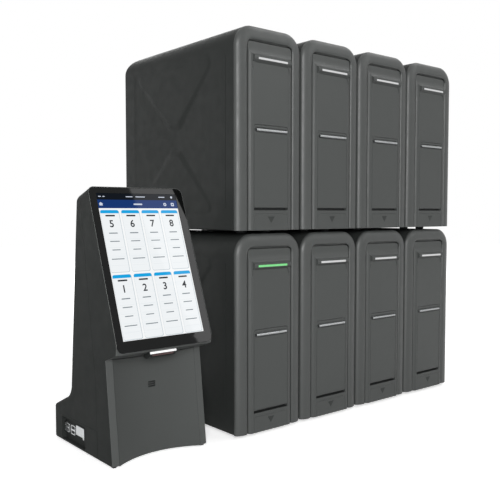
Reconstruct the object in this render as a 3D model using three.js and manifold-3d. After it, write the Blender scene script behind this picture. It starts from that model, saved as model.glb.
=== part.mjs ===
// A cartridge PCR system: eight analysis modules in two tiers of four, with a touch-screen console beside
// them. Millimetres, +Z up, fronts face -Y. The origin is on the bench, under the middle of the whole group.
import * as THREE from 'three';
import { mergeVertices } from 'three/addons/utils/BufferGeometryUtils.js';
import { ConvexGeometry } from 'three/addons/geometries/ConvexGeometry.js';
import Module from 'manifold-3d';

const wasm = await Module();
wasm.setup();

// Fits and cutting
const seatGap = 0.3;
const cutOverrun = 2;
const joinOverlap = 0.6;

// Arrangement of the group
const columnCount = 4;
const tierCount = 2;
const moduleSpacing = 3;
const consoleSpacing = 48.9;
const consoleSetback = 8.5;

// Module case
const moduleWidth = 137;
const moduleHeight = 317.5;
const caseDepth = 328.5;
const caseWall = 4;
const topCornerRadius = 33.5;
const bottomCornerRadius = 3;
const rearCornerRadius = 29;
const rearFootRadius = 6;
const footHeight = 5;
const footRadius = 8;
const footSpread = 26;
const footFrontInset = 34;
const footRearInset = 44;

// Side relief of the case: two raised triangles with a valley between them
const reliefDepth = 2.6;
const reliefFront = 51;
const reliefRear = 290;
const reliefTopMargin = 43.5;
const reliefBottom = 40;
const reliefMiddle = 165;
const reliefUpperTip = 163;
const reliefLowerTip = 140;
const reliefFloorHeight = 7;

// Rear wall of the case
const connectorRecessWidth = 58;
const connectorRecessHeight = 40;
const connectorRecessDepth = 20;
const connectorRecessBottom = 22;
const connectorRecessWall = 3;
const grilleWidth = 76;
const grilleSlotHeight = 5;
const grilleSlotPitch = 13;
const grilleTopMargin = 77.5;
const grilleSlotCount = 6;

// Front bezel
const bezelBulge = 9;
const bezelRoundWidth = 17;
const bezelOpeningWidth = 94;
const bezelTopMargin = 22.5;
const bezelOpeningRadius = 7;

// Fascia
const fasciaGroove = 1.6;
const fasciaEdgeFront = 5;
const fasciaPanelFront = 10.2;
const fasciaPanelWidth = 76;
const fasciaFlangeMargin = 5;
const fasciaFlangeThickness = 2.2;
const browLipFront = 15.4;
const browKneeFront = 11.6;
const browKneeDrop = 12.9;
const browLipDrop = 22.4;
const browLipHeight = 6.4;
const browFootDrop = 32.4;
const browWidth = 80.4;
const browEndTaper = 1.5;

// Door and its hinge
const doorWidth = 71.2;
const doorGap = 0.5;
const doorThickness = 6;
const doorBottom = 35.1;
const doorTop = 165.2;
const doorCornerRadius = 5;
const doorSlotHeight = 3.5;
const hingePinRadius = 1.5;
const hingePinLength = 3;
const hingePinClearance = 0.5;
const handlePocketWidth = 67;
const handlePocketHeight = 8;
const handlePocketDepth = 2;

// Door handle
const handleLength = 64;
const handleHeight = 3.6;
const handleCentreHeight = 157.3;
const handleFront = 13.2;
const handleChamfer = 0.9;

// Cartridge bay behind the door
const bayTrayWidth = 100;
const bayTrayLength = 200;
const bayTrayThickness = 7;
const bayTrayFront = 8;
const bayTowerWidth = 84;
const bayTowerTop = 176;
const bayWellWidth = 54;
const bayWellBottom = 52;
const bayWellTop = 150;
const bayWellDepth = 78;
const bayWellWall = 14;
const bayRailSize = 3;
const bayRailInset = 7;
const opticsBlockWidth = 62;
const opticsBlockLength = 90;
const opticsBlockTop = 130;
const heatFinCount = 4;
const heatFinThickness = 4;
const heatFinHeight = 16;

// Console
const consoleWidth = 161.5;
const consoleDepth = 195;
const consoleWall = 3;
const consolePadHeight = 2;
const consolePadSize = 16;
const consolePadInset = 10;
const frontLeanAngle = 6.66;
const frontFootOffset = 2.4;
const screenTiltAngle = 20.1;
const screenLength = 246;
const screenBottomHeight = 161;
const screenBottomFront = 21.1;
const headDepth = 37;
const headRearRadius = 9;
const headCornerRadius = 10;
const backLeanAngle = 5.2;
const neckFilletRadius = 26;
const ledgeFallAngle = 24.2;
const ledgeRearHeight = 46.5;
const ledgeRearRadius = 3;
const baseCornerRadius = 18;
const baseSeamHeight = 41;
const seamFoot = 40;
const seamKneeDepth = 44.5;
const seamKneeHeight = 113;
const seamTopDepth = 25;
const sideEdgeRadius = 3;

// Console front
const stripWidth = 11.5;
const stripDepth = 9;
const panelFootSagitta = 20.5;
const panelTopSagitta = 12;
const panelThickness = 3;
const speakerSlotCount = 3;
const speakerSlotWidth = 12.3;
const speakerSlotHeight = 1.7;
const speakerSlotPitch = 3.5;
const speakerSlantAngle = 8;
const speakerHeight = 101;

// Screen
const glassRim = 1.3;
const glassThickness = 2.2;
const glassCornerRadius = 9;
const displaySideMargin = 9.75;
const displayLengthMargin = 19;
const displayThickness = 6;
const displayShift = 4.5;

// Bar-code scanner under the screen's lip
const scannerWidth = 46;
const scannerHeight = 7;
const scannerLength = 19;
const scannerInset = 14;
const scannerNose = 3.4;

// Port bay of the base
const bayLength = 78;
const bayRearMargin = 37;
const bayTop = 37.8;
const bayDepth = 7;
const usbWidth = 14.5;
const usbHeight = 14.4;
const usbLength = 17;
const usbProud = 0.8;
const usbShell = 0.7;
const usbRearMargin = 12;
const usbPitch = 21;
const usbTongueHeight = 2;
const usbTongueInset = 1.6;
const usbBackWall = 3;
const plateWidth = 27;
const plateHeight = 20;
const plateThickness = 1.2;
const plateInset = 14;
const plateBottom = 10.4;

// Main board
const boardTop = 13;
const boardThickness = 1.6;
const boardWidth = 112;
const boardFrontMargin = 27;
const boardRearMargin = 24;
const standoffRadius = 4;
const standoffInset = 8;

// Power button in the rear of the base
const buttonRadius = 6;
const buttonClearance = 0.5;
const buttonProud = 2.2;
const buttonCollar = 2;
const buttonCollarThickness = 2;
const buttonHeight = 21;

// Steps of arcs and colours
const cornerStepCount = 6;
const smallArcStepCount = 3;
const roundSideCount = 12;
const pinSideCount = 8;
const bezelRingCount = 4;
const caseColour = 0x383a39;
const bezelColour = 0x636564;
const fasciaColour = 0x535554;
const handleColour = 0xc9cbcb;
const chassisColour = 0x8d9092;
const consoleColour = 0x353635;
const consoleFrameColour = 0x525453;
const consolePanelColour = 0x4b4d4c;
const glassColour = 0x1c1d1e;
const displayColour = 0x20304a;
const boardColour = 0x1f5a3a;

// Sizes that follow from the ones above
const modulePitch = moduleWidth + moduleSpacing;
const moduleHalf = moduleWidth / 2;
const openingHalf = bezelOpeningWidth / 2;
const bezelOpeningTop = moduleHeight - bezelTopMargin;
const fasciaHalf = openingHalf - fasciaGroove;
const fasciaTop = bezelOpeningTop - fasciaGroove;
const doorHalf = doorWidth / 2;
const hingeDepth = fasciaPanelFront - doorThickness / 2;
const hingeHeight = doorBottom + doorThickness / 2;
const tierPitch = moduleHeight + footHeight + seatGap;
const reliefTop = moduleHeight - reliefTopMargin;
const grilleRise = (grilleSlotCount - 1) * grilleSlotPitch + grilleSlotHeight;
const grilleBottom = moduleHeight - grilleTopMargin - grilleRise;
const browKneeHeight = fasciaTop - browKneeDrop;
const browLipTop = fasciaTop - browLipDrop;
const browLipBottom = browLipTop - browLipHeight;
const browFoot = fasciaTop - browFootDrop;
const displayLength = screenLength - displayLengthMargin;
const bayRear = consoleDepth - bayRearMargin;
const bayFront = bayRear - bayLength;
const usbRearPlace = bayRear - usbRearMargin;
const usbFrontPlace = usbRearPlace - usbPitch;
const platePlace = bayFront + plateInset;
const degrees = Math.PI / 180;

// Geometry helpers

function solidOf(geometry) {
  const bare = geometry.index ? geometry.toNonIndexed() : geometry.clone();
  bare.deleteAttribute('normal');
  bare.deleteAttribute('uv');
  const merged = mergeVertices(bare);
  return new wasm.Manifold(new wasm.Mesh({
    numProp: 3,
    vertProperties: new Float32Array(merged.attributes.position.array),
    triVerts: new Uint32Array(merged.index.array),
  }));
}

function geometryOf(solid) {
  const mesh = solid.getMesh();
  const geometry = new THREE.BufferGeometry();
  geometry.setAttribute('position', new THREE.BufferAttribute(mesh.vertProperties, mesh.numProp));
  geometry.setIndex(new THREE.BufferAttribute(mesh.triVerts, 1));
  return geometry;
}

function joined(solids) {
  return solids.reduce((whole, next) => whole.add(next));
}

function cutFrom(body, cutters) {
  return cutters.reduce((rest, cutter) => rest.subtract(cutter), body);
}

function box(x0, x1, y0, y1, z0, z1) {
  const geometry = new THREE.BoxGeometry(x1 - x0, y1 - y0, z1 - z0);
  geometry.translate((x0 + x1) / 2, (y0 + y1) / 2, (z0 + z1) / 2);
  return solidOf(geometry);
}

function flatShape(points) {
  return new THREE.Shape(points.map(([a, b]) => new THREE.Vector2(a, b)));
}

// Points are [x, y], and the prism rises from z0 to z1.
function prismUp(points, z0, z1) {
  const geometry = new THREE.ExtrudeGeometry(flatShape(points), { depth: z1 - z0, bevelEnabled: false });
  geometry.translate(0, 0, z0);
  return solidOf(geometry);
}

// Points are [x, z], and the prism runs from y0 back to y1.
function prismBack(points, y0, y1) {
  const geometry = new THREE.ExtrudeGeometry(flatShape(points), { depth: y1 - y0, bevelEnabled: false });
  geometry.rotateX(Math.PI / 2);
  geometry.translate(0, y1, 0);
  return solidOf(geometry);
}

// Points are [y, z], and the prism runs from x0 across to x1.
function prismAcross(points, x0, x1) {
  const geometry = new THREE.ExtrudeGeometry(flatShape(points), { depth: x1 - x0, bevelEnabled: false });
  geometry.rotateX(Math.PI / 2);
  geometry.rotateZ(Math.PI / 2);
  geometry.translate(x0, 0, 0);
  return solidOf(geometry);
}

function hullOf(points) {
  return solidOf(new ConvexGeometry(points.map((point) => new THREE.Vector3(...point))));
}

function rod(radius, sides, start, end) {
  const from = new THREE.Vector3(...start);
  const along = new THREE.Vector3(...end).sub(from);
  const geometry = new THREE.CylinderGeometry(radius, radius, along.length(), sides);
  geometry.rotateY(Math.PI / sides);
  const turn = new THREE.Quaternion();
  turn.setFromUnitVectors(new THREE.Vector3(0, 1, 0), along.clone().normalize());
  geometry.applyQuaternion(turn);
  const middle = from.addScaledVector(along, 0.5);
  geometry.translate(middle.x, middle.y, middle.z);
  return solidOf(geometry);
}

function arc(centreA, centreB, radius, startAngle, endAngle, steps) {
  const points = [];
  for (let step = 0; step <= steps; step += 1) {
    const angle = startAngle + (endAngle - startAngle) * step / steps;
    points.push([centreA + radius * Math.cos(angle), centreB + radius * Math.sin(angle)]);
  }
  return points;
}

// A rectangle between two corners, with one radius for its upper and one for its lower corners.
function roundedOutline(left, right, bottom, top, upperRadius, lowerRadius, steps) {
  const corner = (a, b, radius, start, count) => (
    radius > 0 ? arc(a, b, radius, start, start + Math.PI / 2, count) : [[a, b]]
  );
  return [
    ...corner(left + lowerRadius, bottom + lowerRadius, lowerRadius, Math.PI, smallArcStepCount),
    ...corner(right - lowerRadius, bottom + lowerRadius, lowerRadius, -Math.PI / 2, smallArcStepCount),
    ...corner(right - upperRadius, top - upperRadius, upperRadius, 0, steps),
    ...corner(left + upperRadius, top - upperRadius, upperRadius, Math.PI / 2, steps),
  ];
}

// Rings of points in one plane, stacked at rising heights above it and capped at each end.
function stackedRings(rings, heights) {
  const count = rings[0].length;
  const corner = (ring, index) => [...rings[ring][index % count], heights[ring]];
  const positions = [];
  for (let ring = 0; ring + 1 < rings.length; ring += 1) {
    for (let index = 0; index < count; index += 1) {
      const low = corner(ring, index);
      const high = corner(ring + 1, index);
      const lowNext = corner(ring, index + 1);
      const highNext = corner(ring + 1, index + 1);
      positions.push(...low, ...lowNext, ...highNext, ...low, ...highNext, ...high);
    }
  }
  const last = rings.length - 1;
  for (const [ring, turn] of [[0, -1], [last, 1]]) {
    const outline = rings[ring].map(([a, b]) => new THREE.Vector2(a, b));
    for (const [a, b, c] of THREE.ShapeUtils.triangulateShape(outline, [])) {
      const order = turn > 0 ? [a, b, c] : [a, c, b];
      order.forEach((index) => positions.push(...corner(ring, index)));
    }
  }
  const geometry = new THREE.BufferGeometry();
  geometry.setAttribute('position', new THREE.Float32BufferAttribute(positions, 3));
  return geometry;
}

// Corners are [a, b, radius]; each one with a radius becomes an arc that is tangent to both its edges.
function softOutline(corners, steps) {
  return corners.flatMap(([a, b, radius], index) => {
    if (!radius) return [[a, b]];
    const here = new THREE.Vector2(a, b);
    const towards = (corner) => new THREE.Vector2(corner[0], corner[1]).sub(here).normalize();
    const before = towards(corners.at(index - 1));
    const after = towards(corners[(index + 1) % corners.length]);
    const half = Math.acos(before.dot(after)) / 2;
    const middle = before.clone().add(after).normalize();
    const centre = here.clone().addScaledVector(middle, radius / Math.sin(half));
    const start = here.clone().addScaledVector(before, radius / Math.tan(half)).sub(centre);
    const sweep = Math.sign(after.cross(before)) * (Math.PI - 2 * half);
    return arc(centre.x, centre.y, radius, start.angle(), start.angle() + sweep, steps);
  });
}

// Moves each edge of a counter-clockwise outline inward by its own amount. Each edge starts at the corner
// of the same number.
function shiftedOutline(corners, amounts) {
  const edges = corners.map(([a, b], index) => {
    const [nextA, nextB] = corners[(index + 1) % corners.length];
    const direction = new THREE.Vector2(nextA - a, nextB - b).normalize();
    return { a: a - direction.y * amounts[index], b: b + direction.x * amounts[index], direction };
  });
  return corners.map(([, , radius], index) => {
    const before = edges.at(index - 1);
    const after = edges[index];
    const away = new THREE.Vector2(after.a - before.a, after.b - before.b);
    const reach = away.cross(after.direction) / before.direction.cross(after.direction);
    return [before.a + before.direction.x * reach, before.b + before.direction.y * reach, radius];
  });
}

function finish(colour, roughness, metalness) {
  return new THREE.MeshStandardMaterial({ color: colour, roughness, metalness });
}

function piece(name, solid, material) {
  const mesh = new THREE.Mesh(geometryOf(solid), material);
  mesh.name = name;
  return mesh;
}

// Module: the case

function caseSideOutline(inset) {
  const rear = caseDepth - inset;
  const top = moduleHeight - inset;
  const bend = rearCornerRadius - inset;
  const foot = rearFootRadius - inset > 0 ? rearFootRadius - inset : inset / 2;
  return [
    [seatGap, inset],
    ...arc(rear - foot, inset + foot, foot, -Math.PI / 2, 0, smallArcStepCount),
    ...arc(rear - bend, top - bend, bend, 0, Math.PI / 2, cornerStepCount),
    [seatGap, top],
  ];
}

function reliefValley(side) {
  const face = side * moduleHalf;
  const floor = face - side * reliefDepth;
  const outside = face + side * cutOverrun;
  const field = (edge) => hullOf([
    [face, edge, reliefTop],
    [face, edge, reliefBottom],
    [face, reliefMiddle, reliefUpperTip],
    [face, reliefMiddle, reliefLowerTip],
    [floor, reliefMiddle, (reliefUpperTip + reliefLowerTip + reliefFloorHeight) / 2],
    [floor, reliefMiddle, (reliefUpperTip + reliefLowerTip - reliefFloorHeight) / 2],
    [outside, edge, reliefTop],
    [outside, edge, reliefBottom],
    [outside, reliefMiddle, reliefUpperTip],
    [outside, reliefMiddle, reliefLowerTip],
  ]);
  return field(reliefFront).add(field(reliefRear));
}

function connectorWell() {
  const half = connectorRecessWidth / 2;
  const top = connectorRecessBottom + connectorRecessHeight;
  const floor = caseDepth - connectorRecessDepth;
  const wall = connectorRecessWall;
  const block = box(
    -half - wall, half + wall, floor - wall, caseDepth - caseWall + joinOverlap,
    connectorRecessBottom - wall, top + wall,
  );
  const hollow = box(-half, half, floor, caseDepth + cutOverrun, connectorRecessBottom, top);
  return { block, hollow };
}

function rearGrille() {
  const slots = [];
  for (let index = 0; index < grilleSlotCount; index += 1) {
    const bottom = grilleBottom + index * grilleSlotPitch;
    slots.push(box(
      -grilleWidth / 2, grilleWidth / 2, caseDepth - caseWall - cutOverrun, caseDepth + cutOverrun,
      bottom, bottom + grilleSlotHeight,
    ));
  }
  return slots;
}

function caseFeet() {
  const feet = [];
  for (const side of [-1, 1]) {
    for (const depth of [footFrontInset, caseDepth - footRearInset]) {
      const x = side * footSpread;
      feet.push(rod(footRadius, roundSideCount, [x, depth, -footHeight], [x, depth, joinOverlap]));
    }
  }
  return feet;
}

function makeCase() {
  const outline = (inset) => roundedOutline(
    inset - moduleHalf, moduleHalf - inset, inset, moduleHeight - inset,
    topCornerRadius - inset, Math.max(bottomCornerRadius - inset, 0), cornerStepCount,
  );
  const outer = prismBack(outline(0), seatGap, caseDepth)
    .intersect(prismAcross(caseSideOutline(0), -moduleHalf, moduleHalf));
  const hollowSide = [
    [-cutOverrun, caseWall],
    ...caseSideOutline(caseWall).slice(1, -1),
    [-cutOverrun, moduleHeight - caseWall],
  ];
  const inner = prismBack(outline(caseWall), -cutOverrun, caseDepth - caseWall)
    .intersect(prismAcross(hollowSide, -moduleHalf, moduleHalf));
  const well = connectorWell();
  const shell = cutFrom(outer, [inner, reliefValley(-1), reliefValley(1), ...rearGrille()]);
  return joined([shell.add(well.block).subtract(well.hollow), ...caseFeet()]);
}

// Module: the front

function makeBezel() {
  const rings = [];
  const heights = [];
  for (let ring = 0; ring <= bezelRingCount; ring += 1) {
    const angle = ring / bezelRingCount * Math.PI / 2;
    const inset = bezelRoundWidth * (1 - Math.cos(angle));
    heights.push(bezelBulge * Math.sin(angle));
    rings.push(roundedOutline(
      inset - moduleHalf, moduleHalf - inset, 0, moduleHeight - inset,
      topCornerRadius - inset, 0, cornerStepCount,
    ));
  }
  const frame = solidOf(stackedRings(rings, heights).rotateX(Math.PI / 2));
  const opening = roundedOutline(
    -openingHalf, openingHalf, -cutOverrun, bezelOpeningTop, bezelOpeningRadius, 0, smallArcStepCount,
  );
  return frame.subtract(prismBack(opening, -bezelBulge - cutOverrun, cutOverrun));
}

function browOutline() {
  return [
    [joinOverlap - fasciaPanelFront, browFoot],
    [-browLipFront, browLipBottom],
    [-browLipFront, browLipTop],
    [-browKneeFront, browKneeHeight],
    [-fasciaEdgeFront, fasciaTop],
    [joinOverlap - fasciaEdgeFront, fasciaTop],
  ];
}

function makeFascia() {
  const panelHalf = fasciaPanelWidth / 2;
  const section = [
    [-fasciaHalf, 0],
    [-fasciaHalf, -fasciaEdgeFront],
    [-panelHalf, -fasciaPanelFront],
    [panelHalf, -fasciaPanelFront],
    [fasciaHalf, -fasciaEdgeFront],
    [fasciaHalf, 0],
  ];
  const flangeHalf = openingHalf + fasciaFlangeMargin;
  const flangeBottom = caseWall + seatGap;
  const web = box(-fasciaHalf, fasciaHalf, -joinOverlap, seatGap + joinOverlap, flangeBottom, fasciaTop);
  const flange = box(
    -flangeHalf, flangeHalf, seatGap, seatGap + fasciaFlangeThickness,
    flangeBottom, bezelOpeningTop + fasciaFlangeMargin,
  );
  const face = prismBack(roundedOutline(
    -fasciaHalf, fasciaHalf, 0, fasciaTop, bezelOpeningRadius - fasciaGroove, 0, smallArcStepCount,
  ), -browLipFront - cutOverrun, caseWall);
  const aboveBrow = prismAcross([
    [-browLipFront - cutOverrun, browKneeHeight],
    [-browKneeFront, browKneeHeight],
    [-fasciaEdgeFront, fasciaTop],
    [-fasciaEdgeFront, fasciaTop + cutOverrun],
    [-browLipFront - cutOverrun, fasciaTop + cutOverrun],
  ], -openingHalf, openingHalf);
  const browHalf = browWidth / 2;
  const browPlan = [
    [-browHalf, 0],
    [-browHalf, -fasciaEdgeFront],
    [browEndTaper - browHalf, -browLipFront],
    [browHalf - browEndTaper, -browLipFront],
    [browHalf, -fasciaEdgeFront],
    [browHalf, 0],
  ];
  const brow = prismAcross(browOutline(), -browHalf, browHalf)
    .intersect(prismUp(browPlan, 0, moduleHeight));
  const cutHalf = doorHalf + doorGap;
  const doorway = prismBack(roundedOutline(
    -cutHalf, cutHalf, doorBottom - doorSlotHeight, doorTop + doorGap,
    doorCornerRadius + doorGap, 0, smallArcStepCount,
  ), -fasciaPanelFront - cutOverrun, caseWall + cutOverrun);
  const holeReach = cutHalf + hingePinLength;
  const pinHole = rod(
    hingePinRadius + hingePinClearance, pinSideCount,
    [-holeReach, -hingeDepth, hingeHeight], [holeReach, -hingeDepth, hingeHeight],
  );
  const front = prismUp(section, 0, fasciaTop).add(web).subtract(aboveBrow).add(brow).intersect(face);
  return cutFrom(front.add(flange), [doorway, pinHole]);
}

// Module: the door, hinged along its rounded lower edge

function handlePocket() {
  return {
    bottom: handleCentreHeight - handlePocketHeight / 2,
    top: handleCentreHeight + handlePocketHeight / 2,
    floor: fasciaPanelFront - handlePocketDepth,
  };
}

function makeDoor() {
  const side = [
    ...arc(-hingeDepth, hingeHeight, doorThickness / 2, -Math.PI, 0, cornerStepCount),
    [doorThickness - fasciaPanelFront, doorTop],
    [-fasciaPanelFront, doorTop],
  ];
  const face = roundedOutline(-doorHalf, doorHalf, 0, doorTop, doorCornerRadius, 0, smallArcStepCount);
  const panel = prismAcross(side, -doorHalf, doorHalf)
    .intersect(prismBack(face, -fasciaPanelFront - cutOverrun, 0));
  const pocket = handlePocket();
  const recess = box(
    -handlePocketWidth / 2, handlePocketWidth / 2, -fasciaPanelFront - cutOverrun, -pocket.floor,
    pocket.bottom, pocket.top,
  );
  const reach = doorHalf + hingePinLength;
  const pin = rod(
    hingePinRadius, pinSideCount, [-reach, -hingeDepth, hingeHeight], [reach, -hingeDepth, hingeHeight],
  );
  return panel.subtract(recess).add(pin);
}

function makeHandle() {
  const bottom = handleCentreHeight - handleHeight / 2;
  const top = handleCentreHeight + handleHeight / 2;
  const back = -handlePocket().floor - seatGap;
  return prismAcross([
    [back, bottom],
    [back, top],
    [handleChamfer - handleFront, top],
    [-handleFront, top - handleChamfer],
    [-handleFront, bottom + handleChamfer],
    [handleChamfer - handleFront, bottom],
  ], -handleLength / 2, handleLength / 2);
}

// Module: the cartridge bay, on a tray that rests on the case's floor

function makeCartridgeBay() {
  const front = seatGap + fasciaFlangeThickness + seatGap;
  const trayBottom = caseWall + seatGap;
  const trayTop = trayBottom + bayTrayThickness;
  const towerRear = front + bayWellDepth + bayWellWall;
  const tray = box(
    -bayTrayWidth / 2, bayTrayWidth / 2, bayTrayFront, bayTrayFront + bayTrayLength, trayBottom, trayTop,
  );
  const tower = box(
    -bayTowerWidth / 2, bayTowerWidth / 2, front, towerRear, trayTop - joinOverlap, bayTowerTop,
  );
  const well = box(
    -bayWellWidth / 2, bayWellWidth / 2, front - cutOverrun, front + bayWellDepth, bayWellBottom, bayWellTop,
  );
  const rails = [-1, 1].map((side) => {
    const middle = side * (bayWellWidth / 2 - bayRailInset);
    return box(
      middle - bayRailSize / 2, middle + bayRailSize / 2, front, front + bayWellDepth + joinOverlap,
      bayWellBottom - joinOverlap, bayWellBottom + bayRailSize,
    );
  });
  const opticsRear = towerRear + opticsBlockLength;
  const optics = box(
    -opticsBlockWidth / 2, opticsBlockWidth / 2, towerRear - joinOverlap, opticsRear,
    trayTop - joinOverlap, opticsBlockTop,
  );
  const fins = [];
  const finPitch = (opticsBlockWidth - heatFinThickness) / (heatFinCount - 1);
  for (let index = 0; index < heatFinCount; index += 1) {
    const left = index * finPitch - opticsBlockWidth / 2;
    fins.push(box(
      left, left + heatFinThickness, towerRear - joinOverlap, opticsRear,
      opticsBlockTop - joinOverlap, opticsBlockTop + heatFinHeight,
    ));
  }
  return joined([tray, tower.subtract(well), ...rails, optics, ...fins]);
}

const shellFinish = finish(caseColour, 0.55, 0.0);
const bezelFinish = finish(bezelColour, 0.42, 0.15);
const fasciaFinish = finish(fasciaColour, 0.48, 0.05);
const handleFinish = finish(handleColour, 0.3, 0.9);
const chassisFinish = finish(chassisColour, 0.5, 0.6);

const moduleSolids = [
  ['case', makeCase(), shellFinish],
  ['bezel', makeBezel(), bezelFinish],
  ['fascia', makeFascia(), fasciaFinish],
  ['door', makeDoor(), fasciaFinish],
  ['door_handle', makeHandle(), handleFinish],
  ['cartridge_bay', makeCartridgeBay(), chassisFinish],
];

function makeModule(number) {
  const assembly = new THREE.Group();
  for (const [label, solid, material] of moduleSolids) {
    assembly.add(piece(`module_${number}_${label}`, solid, material));
  }
  return assembly;
}

// Console outline, seen from its left: y runs back from the foot of the front, z up

const slope = (angle) => Math.tan(angle * degrees);
const upScreen = { y: Math.sin(screenTiltAngle * degrees), z: Math.cos(screenTiltAngle * degrees) };
const intoScreen = { y: upScreen.z, z: -upScreen.y };

// A point of the console's head: up the screen from its lower edge, then in from its face.
function headPoint(up, depth) {
  return [
    up * upScreen.y + depth * intoScreen.y - screenBottomFront,
    screenBottomHeight + up * upScreen.z + depth * intoScreen.z,
  ];
}

function frontAt(height) {
  return height * slope(frontLeanAngle) - frontFootOffset;
}

// How far in from the screen's face the leaning front meets the underside of the head.
const lipDepth = (() => {
  const missAt = (depth) => {
    const [y, z] = headPoint(0, depth);
    return frontAt(z) - y;
  };
  return missAt(0) / (missAt(0) - missAt(1));
})();

const seamKnee = [seamKneeDepth, seamKneeHeight];
const seamTop = headPoint(screenLength, seamTopDepth);
const seamAtBase = seamFoot + (seamKneeDepth - seamFoot) * baseSeamHeight / seamKneeHeight;
const boardFront = seamAtBase + seatGap + consoleWall + boardFrontMargin;
const boardLength = consoleDepth - consoleWall - boardRearMargin - boardFront;

const frameCorners = [
  [frontAt(0), 0],
  [seamFoot, 0],
  seamKnee,
  seamTop,
  headPoint(screenLength, 0),
  headPoint(0, 0),
  headPoint(0, lipDepth),
];

const housingCorners = (() => {
  const [backTop, backTopHeight] = headPoint(screenLength, headDepth);
  const backSlope = slope(backLeanAngle);
  const ledgeSlope = slope(ledgeFallAngle);
  const backFoot = backTop + backTopHeight * backSlope;
  const ledgeTop = ledgeRearHeight + consoleDepth * ledgeSlope;
  const neck = (backFoot - backSlope * ledgeTop) / (1 - backSlope * ledgeSlope);
  return [
    [seamAtBase + seatGap, baseSeamHeight + seatGap],
    [consoleDepth, baseSeamHeight + seatGap],
    [consoleDepth, ledgeRearHeight, ledgeRearRadius],
    [neck, ledgeTop - neck * ledgeSlope, neckFilletRadius],
    [backTop, backTopHeight, headRearRadius],
    headPoint(screenLength, seamTopDepth + seatGap),
    [seamKneeDepth + seatGap, seamKneeHeight],
  ];
})();

// Points are [x, up the screen]; the slab lies between two depths in from the screen's face.
function headSlab(points, nearDepth, farDepth) {
  const geometry = new THREE.ExtrudeGeometry(
    flatShape(points), { depth: farDepth - nearDepth, bevelEnabled: false },
  );
  geometry.translate(0, 0, -farDepth);
  geometry.applyMatrix4(new THREE.Matrix4().makeBasis(
    new THREE.Vector3(1, 0, 0),
    new THREE.Vector3(0, upScreen.y, upScreen.z),
    new THREE.Vector3(0, -intoScreen.y, -intoScreen.z),
  ));
  const [y, z] = headPoint(0, 0);
  geometry.translate(0, y, z);
  return solidOf(geometry);
}

// Rounds the upper corners of whatever reaches the top of the head.
function roundedHead(solid) {
  const outline = roundedOutline(
    0, consoleWidth, -screenLength, screenLength, headCornerRadius, 0, smallArcStepCount,
  );
  return solid.intersect(headSlab(outline, -cutOverrun, 2 * consoleDepth));
}

const consolePlan = softOutline([
  [0, -screenBottomFront - cutOverrun],
  [consoleWidth, -screenBottomFront - cutOverrun],
  [consoleWidth, consoleDepth, baseCornerRadius],
  [0, consoleDepth, baseCornerRadius],
], cornerStepCount);

// Console: the front frame, with its side strips and the head that holds the screen

function makeFrontFrame() {
  const faceWall = glassThickness + seatGap + consoleWall;
  const lipReach = lipDepth + panelTopSagitta + panelThickness + consoleWall;
  const [, stripTop] = headPoint(0, lipDepth + stripDepth);
  const interior = prismAcross([
    [frontAt(0) + stripDepth, -cutOverrun],
    [consoleDepth, -cutOverrun],
    [consoleDepth, headPoint(screenLength - consoleWall, headDepth)[1]],
    headPoint(screenLength - consoleWall, headDepth),
    headPoint(screenLength - consoleWall, faceWall),
    headPoint(consoleWall, faceWall),
    headPoint(consoleWall, lipReach),
    headPoint(0, lipReach),
    [frontAt(stripTop) + stripDepth, stripTop],
  ], consoleWall, consoleWidth - consoleWall);
  const panelSpace = prismAcross([
    [frontAt(0) - cutOverrun, -cutOverrun],
    [frontAt(0) + stripDepth + cutOverrun, -cutOverrun],
    headPoint(0, lipDepth + stripDepth + cutOverrun),
    headPoint(0, lipDepth - cutOverrun),
  ], stripWidth, consoleWidth - stripWidth);
  const rebate = headSlab(glassOutline(0), -cutOverrun, glassThickness + seatGap);
  const window = headSlab(displayOutline(seatGap), 0, faceWall + cutOverrun);
  const pads = [0, consoleWidth - stripWidth].map((left) => box(
    left + consoleWall, left + stripWidth - consoleWall, frontAt(0) + consoleWall,
    frontAt(0) + stripDepth, -consolePadHeight, joinOverlap,
  ));
  const body = roundedHead(prismAcross(frameCorners, 0, consoleWidth));
  return joined([cutFrom(body, [interior, panelSpace, rebate, window]), ...pads]);
}

function glassOutline(inset) {
  const rim = glassRim + inset;
  return roundedOutline(
    rim, consoleWidth - rim, rim, screenLength - rim, glassCornerRadius, glassCornerRadius, smallArcStepCount,
  );
}

function displayOutline(margin) {
  const middle = screenLength / 2 + displayShift;
  const left = displaySideMargin - margin;
  const bottom = middle - displayLength / 2 - margin;
  const top = middle + displayLength / 2 + margin;
  return [[left, bottom], [consoleWidth - left, bottom], [consoleWidth - left, top], [left, top]];
}

function makeScreenGlass() {
  return headSlab(glassOutline(seatGap), 0, glassThickness);
}

function makeDisplayPanel() {
  const near = glassThickness + seatGap;
  return headSlab(displayOutline(0), near, near + displayThickness);
}

// Console: the concave front panel

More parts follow.
